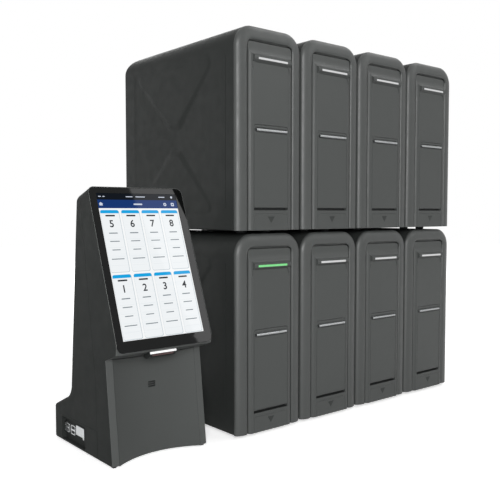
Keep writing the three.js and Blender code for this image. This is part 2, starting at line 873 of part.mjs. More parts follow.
function makeFrontPanel() {
  const left = stripWidth + seatGap;
  const right = consoleWidth - stripWidth - seatGap;
  const half = (right - left) / 2;
  const middle = (left + right) / 2;
  const planAt = (height, sagitta) => {
    const radius = (half * half + sagitta * sagitta) / (2 * sagitta);
    const face = (reach) => {
      const halfAngle = Math.asin(half / reach);
      const centre = frontAt(height) + sagitta - radius;
      return arc(middle, centre, reach, Math.PI / 2 + halfAngle, Math.PI / 2 - halfAngle, roundSideCount);
    };
    return [...face(radius), ...face(radius + panelThickness).reverse()];
  };
  const [, top] = headPoint(0, lipDepth);
  const whole = solidOf(stackedRings([planAt(0, panelFootSagitta), planAt(top, panelTopSagitta)], [0, top]));
  const aboveLip = prismAcross([
    headPoint(-seatGap, 0),
    headPoint(-seatGap, consoleDepth),
    headPoint(screenLength, consoleDepth),
    headPoint(screenLength, 0),
  ], 0, consoleWidth);
  const slots = [];
  for (let index = 0; index < speakerSlotCount; index += 1) {
    const centre = speakerHeight + (index - (speakerSlotCount - 1) / 2) * speakerSlotPitch;
    const rise = speakerSlotWidth / 2 * slope(speakerSlantAngle);
    const low = centre - speakerSlotHeight / 2;
    const high = centre + speakerSlotHeight / 2;
    slots.push(prismBack([
      [middle - speakerSlotWidth / 2, low - rise],
      [middle + speakerSlotWidth / 2, low + rise],
      [middle + speakerSlotWidth / 2, high + rise],
      [middle - speakerSlotWidth / 2, high - rise],
    ], 0, consoleDepth));
  }
  return cutFrom(whole, [aboveLip, ...slots]);
}

// Console: the rear housing and the base below it

function makeHousing() {
  const rings = [];
  const places = [];
  for (let step = 0; step <= smallArcStepCount; step += 1) {
    const angle = step / smallArcStepCount * Math.PI / 2;
    const inset = sideEdgeRadius * (1 - Math.sin(angle));
    places.push(sideEdgeRadius * (1 - Math.cos(angle)));
    const corners = shiftedOutline(housingCorners, [0, inset, inset, inset, inset, 0, 0]);
    rings.push(softOutline(corners, cornerStepCount));
  }
  const mirroredPlaces = places.map((place) => consoleWidth - place).reverse();
  const geometry = stackedRings([...rings, ...rings.toReversed()], [...places, ...mirroredPlaces]);
  geometry.rotateX(Math.PI / 2).rotateZ(Math.PI / 2);
  const outer = roundedHead(solidOf(geometry)).intersect(prismUp(consolePlan, 0, screenLength * 2));
  const wall = consoleWall;
  const open = -cutOverrun;
  const hollow = softOutline(
    shiftedOutline(housingCorners, [open, wall, wall, wall, wall, open, open]), smallArcStepCount,
  );
  const cornerPlan = softOutline([
    [wall, 0],
    [consoleWidth - wall, 0],
    [consoleWidth - wall, consoleDepth - wall, baseCornerRadius - wall],
    [wall, consoleDepth - wall, baseCornerRadius - wall],
  ], smallArcStepCount);
  const inner = prismAcross(hollow, wall, consoleWidth - wall)
    .intersect(prismUp(cornerPlan, 0, screenLength * 2));
  return outer.subtract(inner);
}

function baseStandoffs() {
  const posts = [];
  const left = bayDepth + consoleWall + standoffInset;
  for (const x of [left, left + boardWidth - 2 * standoffInset]) {
    for (const y of [boardFront + standoffInset, boardFront + boardLength - standoffInset]) {
      const top = boardTop - boardThickness - seatGap;
      posts.push(rod(standoffRadius, pinSideCount, [x, y, consoleWall - joinOverlap], [x, y, top]));
    }
  }
  return posts;
}

function basePads() {
  const pads = [];
  const inset = consolePadInset + consolePadSize / 2;
  for (const x of [inset, consoleWidth - inset]) {
    for (const y of [seamAtBase + inset, consoleDepth - inset]) {
      pads.push(rod(consolePadSize / 2, roundSideCount, [x, y, -consolePadHeight], [x, y, joinOverlap]));
    }
  }
  return pads;
}

function makeBase() {
  const wall = consoleWall;
  const front = seamAtBase + seatGap;
  const outer = prismUp(consolePlan, 0, baseSeamHeight)
    .subtract(box(-cutOverrun, consoleWidth + cutOverrun, -consoleDepth, front, -cutOverrun, screenLength));
  const inner = prismUp(softOutline([
    [wall, front + wall],
    [consoleWidth - wall, front + wall],
    [consoleWidth - wall, consoleDepth - wall, baseCornerRadius - wall],
    [wall, consoleDepth - wall, baseCornerRadius - wall],
  ], smallArcStepCount), wall, baseSeamHeight + cutOverrun);
  const bayWalls = box(
    wall - joinOverlap, bayDepth + wall, bayFront - wall, bayRear + wall, 0, baseSeamHeight,
  );
  const bay = box(-cutOverrun, bayDepth, bayFront, bayRear, -cutOverrun, bayTop);
  const usbHoles = [usbFrontPlace, usbRearPlace].map((place) => box(
    0, bayDepth + wall + cutOverrun, place - seatGap, place + usbWidth + seatGap,
    boardTop, boardTop + usbHeight + 2 * seatGap,
  ));
  const buttonHole = rod(
    buttonRadius + buttonClearance, roundSideCount,
    [consoleWidth / 2, consoleDepth - wall - cutOverrun, buttonHeight],
    [consoleWidth / 2, consoleDepth + cutOverrun, buttonHeight],
  );
  const tray = outer.subtract(inner).add(bayWalls);
  return joined([cutFrom(tray, [bay, ...usbHoles, buttonHole]), ...baseStandoffs(), ...basePads()]);
}

// Console: scanner, sockets, board and button

function makeScanner() {
  const far = scannerInset + scannerLength;
  const left = (consoleWidth - scannerWidth) / 2;
  return prismAcross([
    headPoint(-seatGap, scannerInset),
    headPoint(-seatGap - scannerNose, scannerInset),
    headPoint(-scannerHeight, scannerInset + scannerHeight),
    headPoint(-scannerHeight, far - scannerHeight),
    headPoint(-scannerNose, far),
    headPoint(-seatGap, far),
  ].reverse(), left, left + scannerWidth);
}

function makeUsbPort(place) {
  const near = bayDepth - usbProud;
  const bottom = boardTop + seatGap;
  const socketHeight = (usbHeight - 3 * usbShell) / 2;
  const socketEnd = near + usbLength - usbBackWall;
  let port = box(near, near + usbLength, place, place + usbWidth, bottom, bottom + usbHeight);
  for (const level of [0, 1]) {
    const floor = bottom + usbShell + level * (socketHeight + usbShell);
    const tongueBottom = floor + socketHeight - usbTongueHeight - usbShell;
    const socket = box(
      near - cutOverrun, socketEnd,
      place + usbShell, place + usbWidth - usbShell, floor, floor + socketHeight,
    );
    const tongue = box(
      near + usbTongueInset, socketEnd + joinOverlap,
      place + usbTongueInset, place + usbWidth - usbTongueInset,
      tongueBottom, tongueBottom + usbTongueHeight,
    );
    port = port.subtract(socket).add(tongue);
  }
  return port;
}

function makePortPlate() {
  const back = bayDepth - seatGap;
  return box(
    back - plateThickness, back, platePlace, platePlace + plateWidth, plateBottom, plateBottom + plateHeight,
  );
}

function makeMainBoard() {
  const left = bayDepth + consoleWall + seatGap;
  return box(
    left, left + boardWidth, boardFront, boardFront + boardLength, boardTop - boardThickness, boardTop,
  );
}

function makePowerButton() {
  const seat = consoleDepth - consoleWall - seatGap;
  const middle = consoleWidth / 2;
  const cap = rod(
    buttonRadius, roundSideCount, [middle, seat - joinOverlap, buttonHeight],
    [middle, consoleDepth + buttonProud, buttonHeight],
  );
  const collar = rod(
    buttonRadius + buttonCollar, roundSideCount,
    [middle, seat - buttonCollarThickness, buttonHeight], [middle, seat, buttonHeight],
  );
  return cap.add(collar);
}

function makeConsole() {
  const shell = finish(consoleColour, 0.5, 0.0);
  const frame = finish(consoleFrameColour, 0.45, 0.05);
  const assembly = new THREE.Group();
  assembly.add(
    piece('console_housing', makeHousing(), shell),
    piece('console_front_frame', makeFrontFrame(), frame),
    piece('console_front_panel', makeFrontPanel(), finish(consolePanelColour, 0.5, 0.0)),
    piece('console_base', makeBase(), shell),
    piece('console_screen_glass', makeScreenGlass(), finish(glassColour, 0.08, 0.0)),
    piece('console_display_panel', makeDisplayPanel(), finish(displayColour, 0.4, 0.0)),
    piece('console_barcode_scanner', makeScanner(), shell),
    piece('console_usb_port_rear', makeUsbPort(usbRearPlace), handleFinish),
    piece('console_usb_port_front', makeUsbPort(usbFrontPlace), handleFinish),
    piece('console_port_plate', makePortPlate(), handleFinish),
    piece('console_main_board', makeMainBoard(), finish(boardColour, 0.6, 0.0)),
    piece('console_power_button', makePowerButton(), frame),
  );
  return assembly;
}

// The whole group: modules numbered from the lower left, the upper tier resting on the lower

const system = new THREE.Group();
for (let tier = 0; tier < tierCount; tier += 1) {
  for (let column = 0; column < columnCount; column += 1) {
    const unit = makeModule(tier * columnCount + column + 1);
    unit.position.set(column * modulePitch + moduleHalf, 0, footHeight + tier * tierPitch);
    system.add(unit);
  }
}
const consoleUnit = makeConsole();
consoleUnit.position.set(-consoleSpacing - consoleWidth, consoleSetback, consolePadHeight);
system.add(consoleUnit);

const extent = new THREE.Box3().setFromObject(system, true);
const centre = extent.getCenter(new THREE.Vector3());
system.position.set(-centre.x, -centre.y, -extent.min.z);

const group = new THREE.Group();
group.add(system);

export default group;
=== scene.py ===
"""A cartridge PCR system: eight analysis modules in two tiers of four, and a touch-screen console.

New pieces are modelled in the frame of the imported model, with +Z up and the fronts facing -Y. The
sizes of a sub-assembly are fields in millimetres, measured from its own datum, and the finished
meshes are in metres.
"""

import logging
import math
from contextlib import contextmanager
from dataclasses import dataclass, field
from enum import Enum
from typing import Any, Callable, Iterator, Sequence

import bmesh
import bpy
from mathutils import Euler, Matrix, Vector


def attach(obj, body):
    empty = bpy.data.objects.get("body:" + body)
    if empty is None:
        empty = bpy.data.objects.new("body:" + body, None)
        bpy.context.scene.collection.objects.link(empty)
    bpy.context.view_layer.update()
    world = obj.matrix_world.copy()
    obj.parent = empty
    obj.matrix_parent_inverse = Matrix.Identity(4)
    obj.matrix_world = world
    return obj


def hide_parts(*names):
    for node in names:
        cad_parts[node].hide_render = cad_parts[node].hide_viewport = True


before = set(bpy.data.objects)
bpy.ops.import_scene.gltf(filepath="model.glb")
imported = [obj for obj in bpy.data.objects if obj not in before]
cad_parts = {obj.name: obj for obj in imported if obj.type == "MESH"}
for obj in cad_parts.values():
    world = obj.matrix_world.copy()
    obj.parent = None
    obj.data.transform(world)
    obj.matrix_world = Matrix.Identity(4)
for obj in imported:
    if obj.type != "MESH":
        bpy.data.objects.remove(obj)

log = logging.getLogger("pcr_system")
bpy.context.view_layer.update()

MILLIMETRE = 0.001
TOLERANCE = 0.02

Point = tuple[float, float, float]
Pair = tuple[float, float]
Outline = list[Pair]
Shape = bpy.types.Object
Tree = bpy.types.NodeTree
Socket = bpy.types.NodeSocket
Inputs = dict[Any, Any]
EdgeTest = Callable[[Vector, Vector, float], bool]
FaceTest = Callable[[Vector, Vector], bool]


class Section(Enum):
    """The plane that a cross-section is drawn in, and so the way it is extruded."""

    FRONT = "x and z, drawn back along y"
    SIDE = "y and z, drawn across along x"
    PLAN = "x and y, drawn up along z"

    def point(self, a: float, b: float, level: float) -> Vector:
        """Places a drawn point at one level of the extrusion.

        Args:
            a: its first coordinate in the plane.
            b: its second coordinate.
            level: where it lies along the extrusion.

        Returns:
            The point in space.
        """
        places = {
            Section.FRONT: (a, level, b),
            Section.SIDE: (level, a, b),
            Section.PLAN: (a, b, level),
        }
        return Vector(places[self])


class Boolean(Enum):
    """What one solid does to another."""

    CUT = "DIFFERENCE"
    ADD = "UNION"


# Bench tools: each one works on the shape that it is given, with the operators that a modeller
# would use by hand.


def pick(shape: Shape) -> None:
    """Selects one shape alone and makes it active.

    Args:
        shape: the shape.
    """
    bpy.ops.object.select_all(action="DESELECT")
    shape.select_set(True)
    bpy.context.view_layer.objects.active = shape


@contextmanager
def editing(shape: Shape, mode: str) -> Iterator[bmesh.types.BMesh]:
    """Holds a shape in edit mode, with nothing selected at first.

    Args:
        shape: the shape to edit.
        mode: what is selected: VERT, EDGE or FACE.

    Yields:
        The mesh that selections are made in.
    """
    pick(shape)
    bpy.ops.object.mode_set(mode="EDIT")
    bpy.ops.mesh.select_mode(type=mode)
    bpy.ops.mesh.select_all(action="DESELECT")
    yield bmesh.from_edit_mesh(shape.data)
    bpy.ops.object.mode_set(mode="OBJECT")


def choose_edges(shape: Shape, mesh: bmesh.types.BMesh, test: EdgeTest) -> None:
    """Selects the edges that pass a test.

    Args:
        shape: the shape in edit mode.
        mesh: its mesh.
        test: takes an edge's two ends in millimetres and its fold in degrees.
    """
    for edge in mesh.edges:
        ends = [vertex.co / MILLIMETRE for vertex in edge.verts]
        if test(ends[0], ends[1], math.degrees(edge.calc_face_angle(0))):
            edge.select_set(True)
    bmesh.update_edit_mesh(shape.data)


def choose_faces(shape: Shape, mesh: bmesh.types.BMesh, test: FaceTest) -> None:
    """Selects the faces that pass a test.

    Args:
        shape: the shape in edit mode.
        mesh: its mesh.
        test: takes a face's middle in millimetres and its normal.
    """
    for face in mesh.faces:
        if test(face.calc_center_median() / MILLIMETRE, face.normal):
            face.select_set(True)
    bmesh.update_edit_mesh(shape.data)


def settle(name: str) -> Shape:
    """Names the new primitive and moves its place and size into its mesh.

    Args:
        name: its name.

    Returns:
        The primitive.
    """
    shape = bpy.context.active_object
    shape.name = shape.data.name = name
    bpy.ops.object.transform_apply(location=True, rotation=True, scale=True)
    return shape


def block(name: str, low: Point, high: Point) -> Shape:
    """Makes a cuboid between two corners.

    Args:
        name: its name.
        low: its lowest corner, in millimetres.
        high: its highest corner.

    Returns:
        The cuboid.
    """
    bpy.ops.object.select_all(action="DESELECT")
    middle = [(a + b) / 2 * MILLIMETRE for a, b in zip(low, high)]
    size = [(b - a) * MILLIMETRE for a, b in zip(low, high)]
    bpy.ops.mesh.primitive_cube_add(size=1, location=middle, scale=size)
    return settle(name)


def rod(name: str, radius: float, start: Point, end: Point, sides: int = 48) -> Shape:
    """Makes a round bar between two points.

    Args:
        name: its name.
        radius: its radius, in millimetres.
        start: the middle of one end.
        end: the middle of the other.
        sides: the number of flats round it.

    Returns:
        The bar.
    """
    bpy.ops.object.select_all(action="DESELECT")
    along = Vector(end) - Vector(start)
    bpy.ops.mesh.primitive_cylinder_add(
        vertices=sides,
        radius=radius * MILLIMETRE,
        depth=along.length * MILLIMETRE,
        location=(Vector(start) + Vector(end)) / 2 * MILLIMETRE,
        rotation=along.to_track_quat("Z", "Y").to_euler(),
    )
    return settle(name)


def prism(name: str, outline: Outline, section: Section, start: float, end: float) -> Shape:
    """A solid of one cross-section: a filled circle is drawn out to the outline, then extruded.

    Args:
        name: the shape's name.
        outline: the corners of the cross-section, in millimetres.
        section: the plane that they are drawn in.
        start: where the extrusion begins, in millimetres.
        end: where it ends.

    Returns:
        The solid, with its faces turned outwards.
    """
    bpy.ops.object.select_all(action="DESELECT")
    bpy.ops.mesh.primitive_circle_add(vertices=len(outline), radius=1, fill_type="NGON")
    shape = settle(name)
    for vertex, (a, b) in zip(shape.data.vertices, outline):
        vertex.co = section.point(a, b, start) * MILLIMETRE
    travel = (section.point(0, 0, end) - section.point(0, 0, start)) * MILLIMETRE
    with editing(shape, "FACE"):
        bpy.ops.mesh.select_all(action="SELECT")
        bpy.ops.mesh.extrude_region_move(TRANSFORM_OT_translate={"value": travel})
        bpy.ops.mesh.select_all(action="SELECT")
        bpy.ops.mesh.normals_make_consistent(inside=False)
    return shape


def bevel(shape: Shape, width: float, segments: int, test: EdgeTest) -> None:
    """Rounds the edges that pass a test.

    Args:
        shape: the shape to work on.
        width: the round's width, in millimetres.
        segments: the number of flats in it.
        test: the test of an edge.
    """
    with editing(shape, "EDGE") as mesh:
        choose_edges(shape, mesh, test)
        bpy.ops.mesh.bevel(offset=width * MILLIMETRE, segments=segments, affect="EDGES")


def slice_off(shape: Shape, point: Point, normal: Point) -> None:
    """Cuts away what lies beyond a plane, and closes the cut.

    Args:
        shape: the shape to cut.
        point: a point of the plane, in millimetres.
        normal: the direction in which all is cut away.
    """
    with editing(shape, "FACE"):
        bpy.ops.mesh.select_all(action="SELECT")
        bpy.ops.mesh.bisect(
            plane_co=Vector(point) * MILLIMETRE, plane_no=normal, use_fill=True, clear_outer=True
        )


def round_off(
    shape: Shape, centre: Vector, first: Vector, second: Vector, radius: float, steps: int
) -> None:
    """Rounds a corner to an arc by planing it off in narrow flats.

    Args:
        shape: the shape to plane.
        centre: a point on the arc's axis, in millimetres.
        first: the unit direction from the axis to the start of the arc.
        second: the unit direction from the axis to its end.
        radius: the arc's radius, in millimetres.
        steps: the number of flats.
    """
    for step in range(steps):
        angle = (step + 0.5) / steps * math.pi / 2
        outward = first * math.cos(angle) + second * math.sin(angle)
        slice_off(shape, centre + outward * radius, outward)


def combine(shape: Shape, tool: Shape, how: Boolean) -> Shape:
    """Cuts another shape out of a shape or adds it, and uses it up.

    Args:
        shape: the shape to work on.
        tool: the other shape.
        how: whether it is cut out or added.

    Returns:
        The first shape.
    """
    pick(shape)
    bpy.ops.object.modifier_add(type="BOOLEAN")
    modifier = shape.modifiers[-1]
    modifier.operation = how.value
    modifier.object = tool
    modifier.solver = "EXACT"
    bpy.ops.object.modifier_apply(modifier=modifier.name)
    bpy.data.objects.remove(tool)
    return shape


def cut_all(shape: Shape, tools: Sequence[Shape]) -> Shape:
    """Cuts several tools out of a shape, one after another."""
    for tool in tools:
        combine(shape, tool, Boolean.CUT)
    return shape


def finish_edges(shape: Shape, width: float, segments: int = 2, fold: float = 32) -> Shape:
    """Breaks the sharp edges with a small round, and shades flats flat and rounds round.

    Args:
        shape: the shape to finish.
        width: the round's width in millimetres, or 0 for none.
        segments: the number of flats in the round.
        fold: the least fold in degrees that counts as a sharp edge.

    Returns:
        The same shape.
    """
    pick(shape)
    if width:
        bpy.ops.object.modifier_add(type="BEVEL")
        modifier = shape.modifiers[-1]
        modifier.width = width * MILLIMETRE
        modifier.segments = segments
        modifier.limit_method = "ANGLE"
        modifier.angle_limit = math.radians(fold)
        modifier.use_clamp_overlap = False
        bpy.ops.object.modifier_apply(modifier=modifier.name)
    bpy.ops.object.shade_smooth_by_angle(angle=math.radians(fold))
    bpy.ops.object.modifier_add(type="WEIGHTED_NORMAL")
    modifier = shape.modifiers[-1]
    modifier.keep_sharp = True
    bpy.ops.object.modifier_apply(modifier=modifier.name)
    return shape


def join(shapes: Sequence[Shape], name: str) -> Shape:
    """Makes one shape of several that belong together.

    Args:
        shapes: the shapes.
        name: the name of the whole.

    Returns:
        The first shape, which holds them all.
    """
    bpy.ops.object.select_all(action="DESELECT")
    for shape in shapes:
        shape.select_set(True)
    bpy.context.view_layer.objects.active = shapes[0]
    bpy.ops.object.join()
    shapes[0].name = shapes[0].data.name = name
    return shapes[0]


def copied(shape: Shape, name: str, place: Vector) -> Shape:
    """Copies a shape, with a mesh of its own.

    Args:
        shape: the shape to copy.
        name: the copy's name.
        place: how far the copy is moved, in millimetres.

    Returns:
        The copy.
    """
    copy = shape.copy()
    copy.data = shape.data.copy()
    copy.name = copy.data.name = name
    copy.data.transform(Matrix.Translation(place * MILLIMETRE))
    bpy.context.collection.objects.link(copy)
    return copy


def top_edges(top: float) -> EdgeTest:
    """Makes the test for the edges that run back along the top of a shape.

    Args:
        top: the shape's height, in millimetres.

    Returns:
        The test.
    """

    def test(a: Vector, b: Vector, fold: float) -> bool:
        """Whether an edge's ends are both at the top, one behind the other."""
        return abs(a.y - b.y) > 0.1 and min(a.z, b.z) > top - 1

    return test


def arc(centre: Sequence[float], radius: float, first: float, sweep: float, steps: int) -> Outline:
    """The points of an arc, from its first angle through a sweep, both in radians."""
    turns = [first + sweep * step / steps for step in range(steps + 1)]
    return [(centre[0] + radius * math.cos(t), centre[1] + radius * math.sin(t)) for t in turns]


def soft_outline(corners: Sequence[Point], steps: int = 8) -> Outline:
    """Rounds the corners of an outline.

    Args:
        corners: each corner's two coordinates and its radius, which may be 0.
        steps: the number of flats in each round.

    Returns:
        The outline's points in order.
    """
    outline: Outline = []
    for index, (a, b, radius) in enumerate(corners):
        if radius == 0:
            outline.append((a, b))
            continue
        here = Vector((a, b))
        before = (Vector(corners[index - 1][:2]) - here).normalized()
        after = (Vector(corners[(index + 1) % len(corners)][:2]) - here).normalized()
        half = before.angle(after) / 2
        centre = here + (before + after).normalized() * (radius / math.sin(half))
        start = here + before * (radius / math.tan(half)) - centre
        end = here + after * (radius / math.tan(half)) - centre
        first = math.atan2(start.y, start.x)
        sweep = (math.atan2(end.y, end.x) - first + math.pi) % math.tau - math.pi
        outline += arc(centre, radius, first, sweep, steps)
    return outline


def rounded_rectangle(
    left: float, right: float, bottom: float, top: float, upper: float, lower: float, steps: int = 6
) -> Outline:
    """A rectangle with one radius for its upper and one for its lower corners."""
    foot = [(left, bottom, lower), (right, bottom, lower)]
    return soft_outline([*foot, (right, top, upper), (left, top, upper)], steps)


# Finishes


def linear(colour: str) -> tuple[float, float, float, float]:
    """Turns an sRGB hex colour into linear values."""
    values = [int(colour[index : index + 2], 16) / 255 for index in (1, 3, 5)]
    red, green, blue = (v / 12.92 if v <= 0.04045 else ((v + 0.055) / 1.055) ** 2.4 for v in values)
    return red, green, blue, 1.0


def add_node(tree: Tree, kind: str, inputs: Inputs, **settings: Any) -> bpy.types.Node:
    """Adds a node with its settings and inputs.

    Args:
        tree: the node tree.
        kind: the node's type name.
        inputs: a value or a linked output for each input, by the input's name or number.
        **settings: the node's own settings.

    Returns:
        The node.
    """
    node = tree.nodes.new(kind)
    for name, value in settings.items():
        setattr(node, name, value)
    for key, value in inputs.items():
        if isinstance(value, Socket):
            tree.links.new(value, node.inputs[key])
        else:
            node.inputs[key].default_value = value
    return node


def noise(tree: Tree, size: float, detail: float, stretch: Point = (1, 1, 1)) -> Socket:
    """A noise pattern on object coordinates.

    Args:
        tree: the node tree.
        size: the size of a blotch, in millimetres.
        detail: the levels of finer noise in it.
        stretch: how many times longer a blotch is along each axis.

    Returns:
        The output that holds the noise, from 0 to 1 and mostly between 0.3 and 0.7.
    """
    place = add_node(tree, "ShaderNodeTexCoord", {}).outputs["Object"]
    scale = [1 / (size * MILLIMETRE * factor) for factor in stretch]
    mapped = add_node(tree, "ShaderNodeMapping", {"Vector": place, "Scale": scale}).outputs[0]
    inputs = {"Vector": mapped, "Scale": 1.0, "Detail": detail}
    return add_node(tree, "ShaderNodeTexNoise", inputs).outputs[0]


@dataclass(frozen=True)
class Finish:
    """A surface finish, made into a material once and then reused.

    Attributes:
        name: the material's name.
        colour: its main colour, in sRGB hex.
        shade: the colour that its patches run to.
    """

    name: str
    colour: str
    shade: str

    def material(self) -> bpy.types.Material:
        """The finish's material, made on first use."""
        found = bpy.data.materials.get(self.name)
        if found:
            return found
        made = bpy.data.materials.new(self.name)
        made.use_nodes = True
        tree = made.node_tree
        tree.nodes.clear()
        shader = add_node(tree, "ShaderNodeBsdfPrincipled", self.inputs(tree))
        add_node(tree, "ShaderNodeOutputMaterial", {"Surface": shader.outputs[0]})
        return made

    def inputs(self, tree: Tree) -> Inputs:
        """What the shader's sockets get, which each finish says in its own way."""
        raise NotImplementedError

    def mottled(self, tree: Tree, pattern: Socket) -> Socket:
        """The finish's colour, running to its shade with a pattern."""
        inputs = {"Factor": pattern, "A": linear(self.colour), "B": linear(self.shade)}
        return add_node(tree, "ShaderNodeMix", inputs, data_type="RGBA").outputs["Result"]

    def worn(self, tree: Tree, pattern: Socket, roughness: float, spread: float) -> Socket:
        """Makes a roughness that wanders with a pattern.

        Args:
            tree: the material's node tree.
            pattern: the pattern.
            roughness: the middle of the roughness.
            spread: how far it wanders.

        Returns:
            The roughness.
        """
        inputs = {"Value": pattern, "From Min": 0.3, "From Max": 0.7}
        inputs |= {"To Min": roughness - spread, "To Max": roughness + spread}
        return add_node(tree, "ShaderNodeMapRange", inputs).outputs[0]

    def dress(self, shape: Shape) -> Shape:
        """Puts the finish on the whole of a shape."""
        shape.data.materials.clear()
        shape.data.materials.append(self.material())
        return shape


@dataclass(frozen=True)
class MouldedPlastic(Finish):
    """ABS from a spark-eroded mould: even and dark, with a fine matt grain that spreads highlights.

    Attributes:
        roughness: the middle of its roughness.
        gloss: its specular level, 0.5 being bare plastic.
        grain: the size of the grain in millimetres: really 0.15, drawn coarser so that it shows.
        relief: the height of the grain, in millimetres.
    """

    roughness: float = 0.5
    gloss: float = 0.35
    grain: float = 1.1
    relief: float = 0.03

    def inputs(self, tree: Tree) -> Inputs:
        """Slow mottling in the colour, finer patches in the gloss, and grain in the relief.

        Args:
            tree: the material's node tree.

        Returns:
            The shader's inputs, by name.
        """
        colour = self.mottled(tree, noise(tree, 90, 3))
        rough = self.worn(tree, noise(tree, 14, 2), self.roughness, 0.05)
        height = {"Height": noise(tree, self.grain, 1), "Distance": self.relief * MILLIMETRE}
        bump = add_node(tree, "ShaderNodeBump", {**height, "Strength": 0.5})
        return {
            "Base Color": colour,
            "Roughness": rough,
            "Normal": bump.outputs[0],
            "IOR": 1.5,
            "Specular IOR Level": self.gloss,
        }


@dataclass(frozen=True)
class BrushedMetal(Finish):
    """Drawn aluminium or plated steel: fine streaks that pull a highlight out across them.

    Attributes:
        roughness: the middle of its roughness.
        stretch: how many times longer than wide a streak is along each axis.
    """

    roughness: float = 0.3
    stretch: Point = (40, 1, 1)

    def inputs(self, tree: Tree) -> Inputs:
        """Streaks in the colour, the gloss and the relief, from one stretched noise.

        Args:
            tree: the material's node tree.

        Returns:
            The shader's inputs, by name.
        """
        streaks = noise(tree, 0.5, 2, self.stretch)
        height = {"Height": streaks, "Strength": 0.3, "Distance": 0.02 * MILLIMETRE}
        return {
            "Base Color": self.mottled(tree, streaks),
            "Metallic": 1.0,
            "Roughness": self.worn(tree, streaks, self.roughness, 0.08),
            "Normal": add_node(tree, "ShaderNodeBump", height).outputs[0],
        }


@dataclass(frozen=True)
class LitPlastic(Finish):
    """A frosted polycarbonate diffuser lit from behind: even, a little softer between its lamps.

    Attributes:
        strength: how bright it glows, 1 being white in the picture.
        pitch: the spacing of the lamps behind it, in millimetres.
    """

    strength: float = 1.0
    pitch: float = 9.0

    def inputs(self, tree: Tree) -> Inputs:
        """A glow that sinks slightly between the lamps behind the diffuser.

        Args:
            tree: the material's node tree.

        Returns:
            The shader's inputs, by name.
        """
        return {
            "Base Color": linear("#202020"),
            "Roughness": 0.35,
            "IOR": 1.58,
            "Emission Color": self.mottled(tree, noise(tree, self.pitch, 0)),
            "Emission Strength": self.strength,
        }


@dataclass(frozen=True)
class PolishedGlass(Finish):
    """Float glass, coated, and printed black behind: deep black with a clear but dim reflection."""

    def inputs(self, tree: Tree) -> Inputs:
        """Black ink with a faint unevenness, seen through polished glass.

        Args:
            tree: the material's node tree.

        Returns:
            The shader's inputs, by name.
        """
        return {
            "Base Color": self.mottled(tree, noise(tree, 60, 2)),
            "Roughness": 0.03,
            "IOR": 1.52,
            "Specular IOR Level": 0.15,
        }


@dataclass(frozen=True)
class ScreenImage(Finish):
    """The liquid-crystal picture behind the glass: its own light in a fine grid, under gloss.

    Attributes:
        strength: how bright it glows, 1 being white in the picture.
        rows: the spacing of its rows in millimetres: really 0.17, drawn coarser so that they show.
    """

    strength: float = 1.0
    rows: float = 1.0

    def inputs(self, tree: Tree) -> Inputs:
        """The picture's colour, with the faint banding of its rows.

        Args:
            tree: the material's node tree.

        Returns:
            The shader's inputs, by name.
        """
        return {
            "Base Color": linear("#000000"),
            "Roughness": 0.03,
            "IOR": 1.52,
            "Specular IOR Level": 0.07,
            "Emission Color": self.mottled(tree, noise(tree, self.rows, 0, (60, 1, 1))),
            "Emission Strength": self.strength,
        }


SHELL = MouldedPlastic("textured_abs_shell", "#292b2a", "#2d2f2e", 0.5, 0.05)
HOUSING = MouldedPlastic("matt_abs_console_housing", "#292b2a", "#2d2f2e", 0.55, 0.03)
BEZEL = MouldedPlastic("satin_painted_abs_bezel", "#3e403f", "#3b3d3c", 0.43, 0.35, 0.8, 0.015)
FASCIA = MouldedPlastic("satin_abs_fascia", "#444645", "#414342", 0.42, 0.2, 0.9, 0.02)
MARK = MouldedPlastic("dark_ink_mark", "#2c2e2d", "#303231", 0.6, 0.2)
DARK = MouldedPlastic("black_abs_interior", "#1b1c1c", "#202121", 0.6, 0.2)
RUBBER = MouldedPlastic("moulded_rubber_foot", "#1d1e1e", "#242525", 0.75, 0.2, 1.4, 0.04)
FRAME = MouldedPlastic("satin_abs_console_frame", "#4a4c4b", "#474948", 0.42, 0.15, 0.9, 0.02)
PANEL = MouldedPlastic("satin_abs_console_panel", "#484a49", "#454746", 0.4, 0.05, 0.9, 0.02)
SILVER = BrushedMetal("satin_anodised_aluminium", "#a0a2a3", "#909293", 0.36)
PLATED = BrushedMetal("plated_steel_socket", "#c4c6c7", "#b0b2b3", 0.34, (1, 12, 1))
CHASSIS = BrushedMetal("bead_blasted_aluminium_bay", "#8f9294", "#7f8284", 0.5, (2, 2, 2))
BOARD = MouldedPlastic("solder_masked_board", "#1f5a3a", "#1a4f33", 0.4, 0.5)
GLASS = PolishedGlass("black_printed_cover_glass", "#0a0b0b", "#0d0e0e")
WHITE_LAMP = LitPlastic("frosted_lamp_white", "#ffffff", "#f2f4f5", 0.58)
GREEN_LAMP = LitPlastic("frosted_lamp_green", "#7ee88c", "#6ddb7d", 0.88)
SCAN_LAMP = LitPlastic("frosted_lamp_scanner", "#ffffff", "#f6f6f6", 1.1)
RED_WINDOW = LitPlastic("red_scanner_window", "#5a0e0c", "#430a09", 0.5, 3.0)


# Products


@dataclass(frozen=True)
class Product:
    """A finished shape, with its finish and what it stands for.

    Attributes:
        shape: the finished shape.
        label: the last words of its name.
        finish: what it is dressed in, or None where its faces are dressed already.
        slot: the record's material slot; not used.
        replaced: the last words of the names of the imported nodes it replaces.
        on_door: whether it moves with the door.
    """

    shape: Shape
    label: str
    finish: Finish | None
    slot: str
    replaced: tuple[str, ...] = ()
    on_door: bool = False


